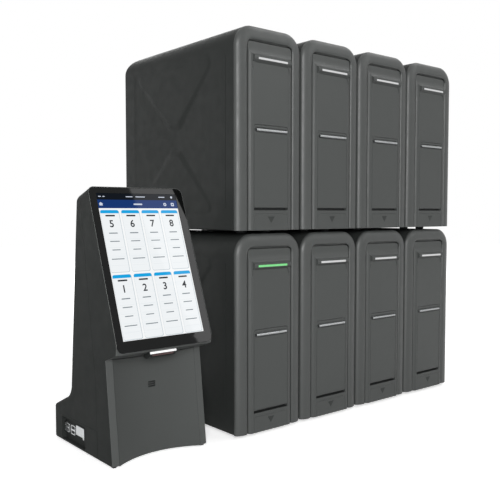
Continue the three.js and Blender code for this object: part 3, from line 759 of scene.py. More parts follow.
@dataclass
class AnalysisModule:
    """One analysis module: a slim rounded case with a convex bezel and a fold-down door.

    Sizes are in millimetres from the middle of the bezel's joint plane, at the foot of the case.
    """

    width: float = 137.0
    height: float = 317.5
    depth: float = 328.5
    wall: float = 4.0
    gap: float = 0.3
    top_radius: float = 33.5
    top_steps: int = 16
    bottom_radius: float = 3.0
    rear_radius: float = 29.0
    rear_foot_radius: float = 6.0
    relief_depth: float = 3.4
    relief_front: float = 51.0
    relief_rear: float = 290.0
    relief_top: float = 275.0
    relief_base: float = 29.0
    relief_tips: Pair = (179.5, 123.5)
    relief_blunt: float = 12.0
    relief_middle: float = 165.0
    relief_corner: float = 8.0
    relief_banks: Pair = (2.5, 12.0)
    relief_edge: float = 0.7
    relief_fades: Point = (22.0, 8.0, 9.0)
    relief_margins: Point = (23.0, 9.0, 12.0)
    relief_cuts: int = 96
    seam_depth: float = 20.8
    seam_span: Pair = (35.5, 270.5)
    seam_half: float = 0.45
    seam_cut: float = 0.7
    seam_dot: float = 271.6
    grille_half: float = 38.0
    grille_height: float = 5.0
    grille_radius: float = 2.4
    grille_levels: tuple[float, ...] = (170, 183, 196, 209, 222, 235)
    recess_half: float = 29.0
    recess_span: Pair = (22.0, 62.0)
    recess_radius: float = 3.0
    tray_depth: float = 18.0
    tray_wall: float = 2.0
    tray_gap: float = 0.2
    socket_height: float = 42.0
    socket_across: float = -15.0
    bezel_bulge: float = 9.0
    bezel_round: float = 16.4
    bezel_rings: int = 14
    roll_width: float = 5.3
    roll_drop: float = 4.0
    roll_rings: int = 7
    opening_half: float = 47.0
    opening_top: float = 295.0
    opening_radius: float = 7.0
    fascia_half: float = 45.4
    fascia_top: float = 293.4
    fascia_edge: float = 5.0
    fascia_corner: float = 5.4
    fascia_rings: tuple[Pair, ...] = ((0.0, 1.4), (1.7, 2.1), (2.3, 1.2), (2.9, 0.9), (0.7, -0.4))
    flange_half: float = 52.0
    flange_top: float = 304.0
    flange_span: Pair = (0.35, 2.4)
    panel_front: float = 10.2
    lip_front: float = 15.4
    lip_low: float = 264.2
    brow_half: float = 38.7
    brow_spare: float = 1.5
    brow_back: float = -4.4
    brow_span: Pair = (260.6, 292.6)
    brow_taper: Pair = (0.99, -0.143)
    web_corner: Pair = (37.6, 262.4)
    web_radius: float = 9.0
    web_span: Pair = (-11.3, -8.6)
    scoop_foot: float = 270.7
    scoop_sweep: tuple[Point, ...] = ((-14.6, 271.2, 2), (-10.4, 273.6, 9), (-6.6, 281.5, 18))
    scoop_head: float = -6.0
    lamp_half: float = 30.5
    lamp_span: Pair = (265.0, 268.4)
    lamp_depth: float = 0.9
    cover_half: float = 35.0
    cover_top: float = 26.0
    cover_radius: float = 4.0
    cover_groove: Pair = (0.3, 0.5)
    mark_half: float = 7.1
    mark_span: Pair = (11.4, 21.8)
    doorway_bottom: float = 31.6
    doorway_gap: float = 0.5
    door_half: float = 35.6
    door_bottom: float = 35.1
    door_top: float = 165.2
    door_thickness: float = 6.0
    door_corner: float = 5.0
    door_foot: float = 2.9
    pin_radius: float = 1.5
    pin_reach: float = 3.0
    pocket_half: float = 33.5
    pocket_rise: float = 4.0
    pocket_depth: float = 2.0
    handle_half: float = 32.0
    handle_height: float = 157.3
    handle_rise: float = 1.8
    handle_span: Pair = (7.9, 13.2)
    handle_chamfer: float = 0.9
    foot_radius: float = 8.0
    foot_height: float = 5.0
    foot_across: float = 26.0
    foot_insets: Pair = (34.0, 44.0)

    def rounded_body(self, name: str, inset: float, front: float) -> Shape:
        """The case's outer or inner form.

        Args:
            name: the shape's name.
            inset: how far it lies inside the outer form, in millimetres.
            front: where its front face lies.

        Returns:
            The form, with rounded long edges and rear edges.
        """
        half, top, rear = self.width / 2 - inset, self.height - inset, self.depth - inset
        body = block(name, (-half, front, inset), (half, rear, top))

        def long_edges(height: float) -> EdgeTest:
            """The test for the edges that run along the case at a height."""
            return lambda a, b, fold: (
                abs(a.y - b.y) > 1 and max(abs(a.z - height), abs(b.z - height)) < TOLERANCE
            )

        bevel(body, self.top_radius - inset, self.top_steps, long_edges(top))
        if self.bottom_radius > inset:
            bevel(body, self.bottom_radius - inset, 4, long_edges(inset))
        back, up, down = Vector((0, 1, 0)), Vector((0, 0, 1)), Vector((0, 0, -1))
        radius = self.rear_radius - inset
        round_off(body, Vector((0, rear - radius, top - radius)), back, up, radius, 12)
        radius = max(self.rear_foot_radius - inset, 2.0)
        round_off(body, Vector((0, rear - radius, inset + radius)), back, down, radius, 4)
        return body

    def relief(self, y: float, z: float) -> float:
        """How deep a point of the case's side lies, in millimetres.

        Args:
            y: the point's distance behind the joint plane.
            z: its height.

        Returns:
            The depth: 0 on the two raised triangles, and most between their blunt tips.
        """
        front, rear, middle = self.relief_front, self.relief_rear, self.relief_middle
        base, top, edge = self.relief_base, self.relief_top, self.relief_edge
        blunt, tips, corner = self.relief_blunt, self.relief_tips, self.relief_corner
        span = middle - front if y < middle else rear - middle
        share = max(0.0, 1 - abs(y - middle) / span) if base < z < top else 0.0
        fades = zip((front - y, y - rear, max(z - top, base - z)), self.relief_fades)
        fade = math.prod(min(max(1 - beyond / reach, 0.0), 1.0) for beyond, reach in fades)
        upper = [(front, top), (rear, top), (middle + blunt, tips[0]), (middle - blunt, tips[0])]
        lower = [(rear, base), (front, base), (middle - blunt, tips[1]), (middle + blunt, tips[1])]
        distance = min(clearance((y, z), upper, corner), clearance((y, z), lower, corner))
        least, most = self.relief_banks
        slope = min(max(distance / (least + (most - least) * share), 0.0), 1.0)
        return (edge + (self.relief_depth - edge) * share) * fade * slope

    def carve_relief(self, case: Shape) -> None:
        """Divides both sides of the case finely, and sinks the valley between the triangles.

        Args:
            case: the case to carve.
        """
        half, (ahead, behind, beside) = self.width / 2, self.relief_margins
        front, rear = self.relief_front - ahead, self.relief_rear + behind
        low, high = self.relief_base - beside, self.relief_top + beside

        def on_side(place: Vector) -> bool:
            """Whether a place lies on one of the case's flat sides."""
            return abs(abs(place.x) - half) < TOLERANCE

        def in_region(place: Vector) -> bool:
            """Whether a place lies on the part of a side that holds the relief."""
            return on_side(place) and front < place.y < rear and low < place.z < high

        planes = [((0, front, 0), (0, 1, 0)), ((0, rear, 0), (0, 1, 0))]
        planes += [((0, 0, low), (0, 0, 1)), ((0, 0, high), (0, 0, 1))]
        for point, normal in planes:
            with editing(case, "FACE") as mesh:
                choose_faces(case, mesh, lambda c, n: abs(n.x) > 0.99 and on_side(c))
                bpy.ops.mesh.bisect(plane_co=Vector(point) * MILLIMETRE, plane_no=normal)
        with editing(case, "FACE") as mesh:
            choose_faces(case, mesh, lambda c, n: in_region(c))
            bpy.ops.mesh.subdivide(number_cuts=self.relief_cuts)
        for vertex in case.data.vertices:
            place = vertex.co / MILLIMETRE
            if in_region(place):
                inward = -1 if place.x > 0 else 1
                vertex.co.x += inward * self.relief(place.y, place.z) * MILLIMETRE

    def recess(self, margin: float = 0.0) -> Outline:
        """The outline of the rear recess, with a margin round it."""
        half, (low, high) = self.recess_half + margin, self.recess_span
        radius = self.recess_radius + margin / 2
        return rounded_rectangle(-half, half, low - margin, high + margin, radius, radius, 4)

    def rear_cutters(self) -> list[Shape]:
        """The cutters of the rear wall's grille and of its connector recess."""
        half, rise, radius = self.grille_half, self.grille_height, self.grille_radius
        holes = [
            rounded_rectangle(-half, half, low, low + rise, radius, radius, 4)
            for low in self.grille_levels
        ]
        holes.append(self.recess())
        near, far = self.depth - 2 * self.wall, self.depth + self.wall
        return [prism("rear_hole", hole, Section.FRONT, near, far) for hole in holes]

    def seam_cutters(self) -> list[Shape]:
        """The cutters of the thin seam down each side, and of the dot that ends it."""
        half, deep, (low, high) = self.width / 2, self.seam_depth, self.seam_span
        tools = []
        for side in (-1, 1):
            near, far = sorted((side * (half - self.seam_cut), side * (half + 2)))
            corners = (near, deep - self.seam_half, low), (far, deep + self.seam_half, high)
            tools.append(block("seam", *corners))
            start, end = side * (half - self.seam_cut - 0.1), side * (half + 2)
            ends = (start, deep, self.seam_dot), (end, deep, self.seam_dot)
            tools.append(rod("seam_dot", 1.0, *ends, 16))
        return tools

    def make_case(self) -> Shape:
        """The case: a hollow rounded shell with a grille, a recess, side seams and reliefs."""
        case = self.rounded_body("case", 0.0, self.gap)
        combine(case, self.rounded_body("case_hollow", self.wall, -6.0), Boolean.CUT)
        cut_all(case, [*self.rear_cutters(), *self.seam_cutters()])
        self.carve_relief(case)
        return finish_edges(case, 0.0, fold=40)

    def make_bezel(self) -> Shape:
        """The convex bezel: a plate raised ring by ring in front, rolling in at its opening."""
        half, spare = self.width / 2, 40.0
        first = self.bezel_bulge * 0.06
        bezel = block("bezel", (-half, -first, -spare), (half, 0, self.height))
        bevel(bezel, self.top_radius, self.top_steps, top_edges(self.height))
        rise, rings, rolls = self.bezel_bulge - first, self.bezel_rings, self.roll_rings
        profile = [(0.0, first)]
        for turn in (ring / rings * math.pi / 2 for ring in range(1, rings + 1)):
            profile.append((self.bezel_round * (1 - math.cos(turn)), first + rise * math.sin(turn)))
        for turn in (ring / rolls * math.pi / 2 for ring in range(1, rolls + 1)):
            inward = self.bezel_round + self.roll_width * math.sin(turn)
            profile.append((inward, self.bezel_bulge - self.roll_drop * (1 - math.cos(turn))))
        with editing(bezel, "FACE") as mesh:
            choose_faces(bezel, mesh, lambda c, n: n.y < -0.99)
            for near, far in zip(profile, profile[1:]):
                inward, outward = (far[0] - near[0]) * MILLIMETRE, (far[1] - near[1]) * MILLIMETRE
                bpy.ops.mesh.inset(thickness=inward, depth=outward)
        slice_off(bezel, (0, 0, 0), (0, 0, -1))
        reach, top = self.opening_half, self.opening_top
        hole = rounded_rectangle(-reach, reach, -20, top, self.opening_radius, 0)
        combine(bezel, prism("bezel_opening", hole, Section.FRONT, -30, 10), Boolean.CUT)
        return finish_edges(bezel, 0.4, 2, 35)

    def make_web(self, side: int) -> Shape:
        """The web that carries one end of the brow down into the shoulder, with a hollow round.

        Args:
            side: -1 for the left end, 1 for the right.

        Returns:
            The web.
        """
        corner, low = self.web_corner
        across, up = corner - self.web_radius, low - self.web_radius
        reach = self.brow_half + self.brow_spare
        outline = [
            (corner, up - 2),
            *arc((across, up), self.web_radius, 0, math.pi / 2, 8),
            (across, low + 3),
            (reach, low + 3),
            (reach, up - 2),
        ]
        turned = [(side * a, b) for a, b in outline]
        return prism("brow_web", turned, Section.FRONT, *self.web_span)

    def make_brow(self) -> Shape:
        """The brow over the panel: a bulge with a rounded lip, a lamp's width deep."""
        back, (low, high) = self.brow_back, self.brow_span
        front, panel, reach = self.lip_front, self.panel_front, self.brow_half
        section = soft_outline(
            [
                (back, low, 0),
                (back, high, 0),
                (-front, high, 0),
                (-front, self.lip_low, 1.8),
                (-panel - 1.6, low + 1, 1.6),
                (-panel, low, 0),
            ],
            5,
        )
        spare = self.brow_spare
        brow = prism("brow", section, Section.SIDE, -reach - spare, reach + spare)
        across, forward = self.brow_taper
        for side in (-1, 1):
            combine(brow, self.make_web(side), Boolean.ADD)
            slice_off(brow, (side * reach, -front, 0), (side * across, forward, 0))
        return combine(brow, self.make_scoop(), Boolean.CUT)

    def make_scoop(self) -> Shape:
        """The hollow sweep cut down from the fascia's top edge to the brow's lip."""
        front, above, foot, head = -22, 310, self.scoop_foot, self.scoop_head
        sweep = soft_outline(
            [
                (front, above, 0),
                (front, foot, 0),
                (-self.lip_front - 1, foot, 0),
                *self.scoop_sweep,
                (head, self.fascia_top + 0.2, 0),
                (head, above, 0),
            ]
        )
        return prism("scoop", sweep, Section.SIDE, -60, 60)

    def cover_outline(self, margin: float, low: float) -> Outline:
        """The service cover's outline with a margin round it, from a height below it."""
        half, radius = self.cover_half + margin, self.cover_radius + margin
        return rounded_rectangle(-half, half, low, self.cover_top + margin, radius, 0)

    def lamp_outline(self, margin: float = 0.0) -> Outline:
        """The status lamp's outline, with a margin round it."""
        half, (low, high) = self.lamp_half + margin, self.lamp_span
        return rounded_rectangle(-half, half, low - margin, high + margin, 0.8, 0.8, 3)

    def fascia_cutters(self) -> list[Shape]:
        """The cutters of the doorway, the cover's groove, its mark and the lamp's slot."""
        reach, gap = self.door_half + self.doorway_gap, self.doorway_gap
        doorway = rounded_rectangle(-reach, reach, self.doorway_bottom, self.door_top + gap, 5.5, 0)
        half_line, depth = self.cover_groove
        floor = depth - self.panel_front
        outer, inner = self.cover_outline(half_line, -10), self.cover_outline(-half_line, -20)
        groove = prism("cover_groove", outer, Section.FRONT, floor, -20)
        island = prism("cover_island", inner, Section.FRONT, -5, -30)
        low, high = self.mark_span
        side = self.mark_half + 0.2
        mark = [(-side, high + 0.1), (0, low - 0.2), (side, high + 0.1)]
        slot = self.lamp_depth + 0.1 - self.lip_front
        return [
            prism("doorway", doorway, Section.FRONT, -30, 10),
            combine(groove, island, Boolean.CUT),
            prism("mark_recess", mark, Section.FRONT, 0.4 - self.panel_front, -20),
            prism("lamp_slot", self.lamp_outline(0.2), Section.FRONT, slot, -20),
        ]

    def make_fascia(self) -> Shape:
        """The fascia: a panel with rounded shoulders, a brow, a doorway and a cover's outline."""
        half, top = self.fascia_half, self.fascia_top
        fascia = block("fascia", (-half, -self.fascia_edge, -20), (half, 0.6, top))
        bevel(fascia, self.fascia_corner, 6, top_edges(top))
        with editing(fascia, "FACE") as mesh:
            choose_faces(fascia, mesh, lambda c, n: n.y < -0.99)
            for inward, outward in self.fascia_rings:
                bpy.ops.mesh.inset(thickness=inward * MILLIMETRE, depth=outward * MILLIMETRE)
        slice_off(fascia, (0, 0, 0), (0, 0, -1))
        back = rounded_rectangle(-self.flange_half, self.flange_half, 0, self.flange_top, 8, 0)
        combine(fascia, prism("flange", back, Section.FRONT, *self.flange_span), Boolean.ADD)
        combine(fascia, self.make_brow(), Boolean.ADD)
        combine(fascia, self.make_scoop(), Boolean.CUT)
        cut_all(fascia, self.fascia_cutters())
        return finish_edges(fascia, 0.3)

    def make_mark(self) -> Shape:
        """The downward triangle on the service cover, inlaid in a darker ink."""
        side, (low, high) = self.mark_half, self.mark_span
        near, far = 0.3 - self.panel_front, 0.45 - self.panel_front
        corners = [(-side, high), (0, low), (side, high)]
        return finish_edges(prism("cover_mark", corners, Section.FRONT, near, far), 0.0)

    def make_lamp(self) -> Shape:
        """The status lamp's frosted bar in the brow's lip."""
        front = -self.lip_front
        lamp = prism(
            "status_lamp", self.lamp_outline(), Section.FRONT, front, front + self.lamp_depth
        )
        return finish_edges(lamp, 0.25)

    def make_slot_lining(self) -> Shape:
        """A black sheet on the floor and back of the slot under the door: painted shade in the
        slot.
        """
        half, low, back = self.door_half + 0.4, self.doorway_bottom + 0.1, -3.6
        ledge = block("painted_slot_shade", (-half, -self.panel_front + 0.4, low), (half, back, low + 0.5))
        wall = block("painted_slot_shade_wall", (-half, back - 0.4, low + 0.2), (half, back, low + 4))
        return finish_edges(combine(ledge, wall, Boolean.ADD), 0.0)

    def make_door(self) -> Shape:
        """The door: a flat leaf with a round foot, hinge pins and a finger pocket."""
        half, front, foot = self.door_half, -self.panel_front, self.door_bottom
        back = self.door_thickness - self.panel_front
        section = [(front, foot, self.door_foot), (back, foot, self.door_foot)]
        section += [(back, self.door_top, 0), (front, self.door_top, 0)]
        door = prism("door", soft_outline(section, 6), Section.SIDE, -half, half)
        bevel(door, self.door_corner, 8, top_edges(self.door_top))
        low, high = self.handle_height - self.pocket_rise, self.handle_height + self.pocket_rise
        pocket = rounded_rectangle(-self.pocket_half, self.pocket_half, low, high, 3.4, 1.2)
        floor = self.pocket_depth - self.panel_front
        combine(door, prism("door_pocket", pocket, Section.FRONT, floor, -20), Boolean.CUT)
        centre = (front + self.door_thickness / 2, foot + self.door_thickness / 2)
        for end in (-1, 1):
            inner, outer = end * (half - 1), end * (half + self.pin_reach)
            pin = rod("door_pin", self.pin_radius, (inner, *centre), (outer, *centre), 24)
            combine(door, pin, Boolean.ADD)
        return finish_edges(door, 0.45)

    def make_handle(self) -> Shape:
        """The silver grip bar across the door's pocket."""
        low, high = self.handle_height - self.handle_rise, self.handle_height + self.handle_rise
        (back, front), cut = self.handle_span, self.handle_chamfer
        outline = [(-back, low), (-back, high), (cut - front, high)]
        outline += [(-front, high - cut), (-front, low + cut), (cut - front, low)]
        handle = prism("door_handle", outline, Section.SIDE, -self.handle_half, self.handle_half)
        return finish_edges(handle, 0.35, 2, 25)

    def make_feet(self) -> Shape:
        """The four rubber feet."""
        across, (front, rear) = self.foot_across, self.foot_insets
        places = [(side * across, y) for side in (-1, 1) for y in (front, self.depth - rear)]
        feet = [
            rod("foot", self.foot_radius, (x, y, -self.foot_height), (x, y, self.gap), 40)
            for x, y in places
        ]
        return finish_edges(join(feet, "feet"), 0.8, 3)

    def make_inlet_tray(self) -> Shape:
        """The tray of the rear recess, in black plastic, open to the rear."""
        wall, rear = self.tray_wall, self.depth - self.wall - self.tray_gap
        front = rear - self.tray_depth
        tray = prism("inlet_tray", self.recess(wall), Section.FRONT, front, rear)
        hollow = prism("inlet_hollow", self.recess(), Section.FRONT, front + wall, rear + 5)
        return finish_edges(combine(tray, hollow, Boolean.CUT), 0.4)

    def make_inlets(self) -> Shape:
        """The power and data sockets on the floor of the rear recess."""
        floor = self.depth - self.wall - (self.tray_depth + self.tray_gap) + self.tray_wall
        x, z = self.socket_across, self.socket_height
        barrel = rod("power_socket", 6.2, (x, floor - 1, z), (x, floor + 7, z), 32)
        bore = rod("power_bore", 4.4, (x, floor + 1, z), (x, floor + 10, z), 32)
        combine(barrel, bore, Boolean.CUT)
        pin = rod("power_pin", 1.2, (x, floor, z), (x, floor + 6.4, z), 16)
        combine(barrel, pin, Boolean.ADD)
        socket = block("data_socket", (3, floor - 1, z - 8), (19, floor + 7, z + 7))
        cut_all(socket, [block("data_bore", (5, floor + 1, z - 4.5), (17, floor + 9, z + 5.5))])
        return finish_edges(join([barrel, socket], "inlets"), 0.35)

    def products(self) -> list[Product]:
        """Builds the module's prototypes."""
        shell, fascia, silver = "shell_plastic", "fascia_plastic", "silver_metal"
        return [
            Product(self.make_case(), "case", SHELL, shell, ("case",)),
            Product(self.make_feet(), "feet", RUBBER, shell),
            Product(self.make_inlet_tray(), "inlet_tray", DARK, shell),
            Product(self.make_inlets(), "inlets", PLATED, "socket_steel"),
            Product(self.make_bezel(), "bezel", BEZEL, "bezel_plastic", ("bezel",)),
            Product(self.make_fascia(), "fascia", FASCIA, fascia, ("fascia",)),
            Product(self.make_mark(), "cover_mark", MARK, fascia),
            Product(self.make_lamp(), "status_lamp", WHITE_LAMP, fascia),
            # Painted shade: a black sheet that darkens the slot under each door.
            Product(self.make_slot_lining(), "painted_slot_shade", DARK, fascia),
            Product(self.make_door(), "door", FASCIA, fascia, ("door",), True),
            Product(self.make_handle(), "door_handle", SILVER, silver, ("door_handle",), True),
        ]


def clearance(point: Pair, corners: Outline, radius: float) -> float:
    """How far a point lies outside a convex outline with rounded corners.

    Args:
        point: the point.
        corners: the outline's corners.
        radius: the radius of its rounded corners.

    Returns:
        The distance, below 0 inside.
    """
    count = len(corners)
    middle = Vector((sum(a for a, b in corners) / count, sum(b for a, b in corners) / count))
    sides = []
    for index, start in enumerate(corners):
        along = (Vector(corners[(index + 1) % count]) - Vector(start)).normalized()
        normal = Vector((along.y, -along.x))
        if (middle - Vector(start)).dot(normal) > 0:
            normal = -normal
        sides.append((Vector(start) - normal * radius, normal, along))
    here = Vector(point)
    inside = max((here - start).dot(normal) for start, normal, along in sides)
    if inside <= 0:
        return inside - radius
    shrunk = []
    for (start, normal, along), (other, other_normal, _) in zip(sides, sides[1:] + sides[:1]):
        reach = (other - start).dot(other_normal) / along.dot(other_normal)
        shrunk.append(start + along * reach)
    nearest = min(
        distance_to_segment(here, shrunk[index - 1], shrunk[index]) for index in range(len(shrunk))
    )
    return nearest - radius


def distance_to_segment(point: Vector, start: Vector, end: Vector) -> float:
    """The distance from a point to a straight line between two others."""
    along = end - start
    share = min(max((point - start).dot(along) / along.length_squared, 0.0), 1.0)
    return (point - start - along * share).length


@dataclass
class ModuleRack:
    """The eight modules, numbered from the lower left, the upper tier resting on the lower."""

    first: Point = (-104.8, -156.55, 5.0)
    pitch: float = 140.0
    tier: float = 322.8
    columns: int = 4
    tiers: int = 2
    green_lamp: int = 1

    def place(self, number: int) -> Vector:
        """Where a module stands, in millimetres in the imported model's frame."""
        row, column = divmod(number - 1, self.columns)
        return Vector(self.first) + Vector((column * self.pitch, 0, row * self.tier))

    def build(self, module: AnalysisModule) -> None:
        """Copies a module's prototypes to every place, the doors' pieces riding on their doors.

        Args:
            module: the module that is copied.
        """
        products = module.products()
        for number in range(1, self.columns * self.tiers + 1):
            for product in products:
                name = f"module_{number}_{product.label}_piece"
                shape = copied(product.shape, name, self.place(number))
                green = product.label == "status_lamp" and number == self.green_lamp
                (GREEN_LAMP if green else product.finish).dress(shape)
                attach(shape, f"module_{number}_door" if product.on_door else "system")
                if product.replaced:
                    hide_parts(*(f"module_{number}_{label}" for label in product.replaced))
                log.info("%s rides its body", name)
        for product in products:
            bpy.data.objects.remove(product.shape)


@dataclass
class Console:
    """The touch-screen console: a leaning tower with a tilted screen over a concave front.

    Sizes are in millimetres from the foot of its left side, with depth measured back.
    """

    origin: Point = (-383.7, -148.05, 2.0)
    width: float = 161.5
    depth: float = 195.0
    gap: float = 0.3
    front_lean: float = 6.66
    foot_offset: float = 2.4
    tilt: float = 20.1
    screen_length: float = 246.0
    screen_bottom: float = 161.0
    screen_front: float = 21.1
    head_depth: float = 37.0
    head_radius: float = 9.0
    head_corner: float = 10.0
    back_lean: float = 5.2
    neck_radius: float = 26.0
    ledge_fall: float = 24.2
    ledge_rear: float = 46.5
    ledge_radius: float = 3.0
    plan_radius: float = 18.0
    seam_height: float = 41.0
    seam_foot: float = 40.0
    seam_knee: Pair = (44.5, 113.0)
    seam_top: float = 25.0
    side_radius: float = 3.0
    strip_width: float = 11.5
    panel_space: float = 28.0
    foot_sagitta: float = 20.5
    top_sagitta: float = 12.0
    panel_thickness: float = 3.0
    panel_steps: int = 48
    slot_levels: Point = (97.8, 101.0, 104.2)
    slot_half: float = 6.1
    slot_rise: float = 1.3
    gauze_half: float = 9.0
    gauze_span: Pair = (94.0, 108.0)
    gauze_inset: float = 16.0
    foot_radius: float = 2.0
    bay_depths: Pair = (80.0, 158.0)
    bay_heights: Pair = (3.4, 37.8)
    bay_radius: float = 2.5
    bay_floor: float = 7.0
    usb_places: Pair = (143.4, 123.4)
    usb_width: float = 14.5
    usb_height: float = 14.4
    usb_length: float = 17.0
    usb_near: float = 5.2
    usb_low: float = 13.3
    usb_pitch: float = 7.1
    usb_opening: Pair = (11.7, 4.7)
    plate_depths: Pair = (94.0, 121.0)
    plate_heights: Pair = (16.0, 30.4)
    plate_tab: float = 13.0
    plate_span: Pair = (5.5, 6.7)
    button_height: float = 21.0
    button_radius: float = 6.0
    collar_radius: float = 8.0
    pad_radius: float = 8.0
    pad_inset: float = 18.0
    glass_rim: float = 1.3
    glass_thickness: float = 2.2
    glass_corner: float = 8.7
    window: tuple[float, float, float, float] = (12.2, 147.8, 17.6, 235.6)
    display_middle: float = 4.5
    display_half: Pair = (71.0, 113.5)
    scanner_half: float = 23.0
    scanner_lamp_span: Pair = (-22.0, 22.4)
    scanner_window_half: float = 18.0

    def head(self, up: float, inward: float) -> Pair:
        """Finds a point of the head.

        Args:
            up: how far up the screen it lies, from the lower edge.
            inward: how far in from the screen's face.

        Returns:
            Its depth and height.
        """
        turn = math.radians(self.tilt)
        depth = up * math.sin(turn) + inward * math.cos(turn) - self.screen_front
        height = self.screen_bottom + up * math.cos(turn) - inward * math.sin(turn)
        return depth, height

    def head_frame(self, across: float, up: float, inward: float) -> Matrix:
        """Finds the matrix that takes a flat drawing to the screen's face.

        Args:
            across: where the drawing's origin goes, from the left edge.
            up: how far up the screen.
            inward: how far in from its face.

        Returns:
            The matrix.
        """
        turn = math.radians(self.tilt)
        depth, height = self.head(up, inward)
        return Matrix(
            (
                (1, 0, 0, across * MILLIMETRE),
                (0, math.sin(turn), -math.cos(turn), depth * MILLIMETRE),
                (0, math.cos(turn), math.sin(turn), height * MILLIMETRE),
                (0, 0, 0, 1),
            )
        )

    def front(self, height: float) -> float:
        """The depth of the leaning front at a height."""
        return height * math.tan(math.radians(self.front_lean)) - self.foot_offset

    def lip(self) -> float:
        """How far in from the screen's face the front meets the underside of the head."""
        places = [self.head(0, inward) for inward in (0.0, 1.0)]
        miss = [self.front(height) - depth for depth, height in places]
        return miss[0] / (miss[0] - miss[1])

    def seam(self, height: float) -> float:
        """Follows the side seam.

        Args:
            height: a height.

        Returns:
            The seam's depth there.
        """
        knee_depth, knee_height = self.seam_knee
        if height < knee_height:
            return self.seam_foot + (knee_depth - self.seam_foot) * height / knee_height
        top_depth, top_height = self.head(self.screen_length, self.seam_top)
        share = (height - knee_height) / (top_height - knee_height)
        return knee_depth + (top_depth - knee_depth) * share

    def head_prism(self, name: str, outline: Outline, near: float, far: float) -> Shape:
        """A solid drawn on the screen's face.

        Args:
            name: the shape's name.
            outline: points from the screen's lower left corner, across and up.
            near: how far in from the screen's face it begins.
            far: how far in it ends.

        Returns:
            The solid, in the console's own frame.
        """
        shape = prism(name, outline, Section.PLAN, -far, -near)
        shape.data.transform(self.head_frame(0, 0, 0))
        return shape

    def sides(self, radius: float) -> list[tuple[Vector, float]]:
        """The outward direction of each side, and where the axis of a round along it lies."""
        return [(Vector((-1, 0, 0)), radius), (Vector((1, 0, 0)), self.width - radius)]

    def round_head(self, shape: Shape) -> None:
        """Rounds the two upper corners of the head.

        Args:
            shape: the shape to round.
        """
        turn, radius = math.radians(self.tilt), self.head_corner
        up = Vector((0, math.sin(turn), math.cos(turn)))
        depth, height = self.head(self.screen_length - radius, 0)
        for outward, x in self.sides(radius):
            round_off(shape, Vector((x, depth, height)), outward, up, radius, 8)

    def round_foot(self, shape: Shape) -> None:
        """Rounds the foot of the front frame in front and at both sides.

        Args:
            shape: the shape to round.
        """
        radius, down = self.foot_radius, Vector((0, 0, -1))
        lean = math.radians(self.front_lean)
        forward = Vector((0, -math.cos(lean), math.sin(lean)))
        depth = self.front(radius) + radius / math.cos(lean)
        round_off(shape, Vector((0, depth, radius)), forward, down, radius, 4)
        for outward, x in self.sides(radius):
            round_off(shape, Vector((x, 0, radius)), outward, down, radius, 4)

    def round_plan(self, shape: Shape) -> None:
        """Rounds the two rear corners of the plan.

        Args:
            shape: the shape to round.
        """
        back, radius = Vector((0, 1, 0)), self.plan_radius
        for outward, x in self.sides(radius):
            round_off(shape, Vector((x, self.depth - radius, 0)), outward, back, radius, 10)

    def make_housing(self) -> Shape:
        """The rear housing: the tower's back and sides, sweeping out to a ledge over the base."""
        back_top, back_height = self.head(self.screen_length, self.head_depth)
        back_slope = math.tan(math.radians(self.back_lean))
        ledge_slope = math.tan(math.radians(self.ledge_fall))
        ledge_top = self.ledge_rear + self.depth * ledge_slope
        back_foot = back_top + back_height * back_slope
        neck = (back_foot - back_slope * ledge_top) / (1 - back_slope * ledge_slope)
        foot = self.seam_height + self.gap
        outline = soft_outline(
            [
                (self.seam(self.seam_height) + self.gap, foot, 0),
                (self.depth, foot, 0),
                (self.depth, self.ledge_rear, self.ledge_radius),
                (neck, ledge_top - neck * ledge_slope, self.neck_radius),
                (back_top, back_height, self.head_radius),
                (*self.head(self.screen_length, self.seam_top + self.gap), 0),
                (self.seam_knee[0] + self.gap, self.seam_knee[1], 0),
            ],
            10,
        )
        housing = prism("housing", outline, Section.SIDE, 0, self.width)
        self.round_plan(housing)
        self.round_head(housing)

        def outer_edge(a: Vector, b: Vector, fold: float) -> bool:
            """Whether an edge is a sharp one away from the seams."""
            middle = (a + b) / 2
            clear = middle.y - self.seam(middle.z) > 1.2 and middle.z - foot > 0.3
            return fold > 35 and clear

        bevel(housing, self.side_radius, 5, outer_edge)
        return finish_edges(housing, 0.0, fold=40)

    def make_front_frame(self) -> Shape:
        """The front frame: two side strips under the head, with a rebate for the glass."""
        lip = self.lip()
        outline = [
            (self.front(0), 0),
            (self.seam_foot, 0),
            self.seam_knee,
            self.head(self.screen_length, self.seam_top),
            self.head(self.screen_length, 0),
            self.head(0, 0),
            self.head(0, lip),
        ]
        shape = prism("front_frame", outline, Section.SIDE, 0, self.width)
        self.round_head(shape)
        self.round_foot(shape)
        space = [
            (self.front(0) - 5, -5),
            (self.front(0) + self.panel_space, -5),
            self.head(0.6, lip + self.panel_space),
            self.head(0.6, lip),
            self.head(-5, lip - 8),
        ]
        strip, far = self.strip_width, self.width - self.strip_width
        cut_all(shape, [prism("panel_space", space, Section.SIDE, strip, far)])

        def front_edge(a: Vector, b: Vector, fold: float) -> bool:
            """Whether an edge is a sharp one of the front, away from the seam and the foot.

            Args:
                a: one of its ends.
                b: the other.
                fold: its fold, in degrees.

            Returns:
                True where it is to be rounded.
            """
            middle = (a + b) / 2
            clear = self.seam(middle.z) - middle.y > 1.2 and middle.z > 0.5
            inside = strip - 1 < middle.x < far + 1 and middle.z < self.screen_bottom
            return fold > 35 and clear and not inside

        bevel(shape, 1.0, 4, front_edge)
        rebate = self.glass_outline(self.glass_rim)
        tools = [
            self.head_prism("glass_rebate", rebate, -3, self.glass_thickness + self.gap),
            self.head_prism("display_pocket", self.display_outline(self.gap), 0, 12),
        ]
        return self.dress_frame(finish_edges(cut_all(shape, tools), 0.25, 2, 40))

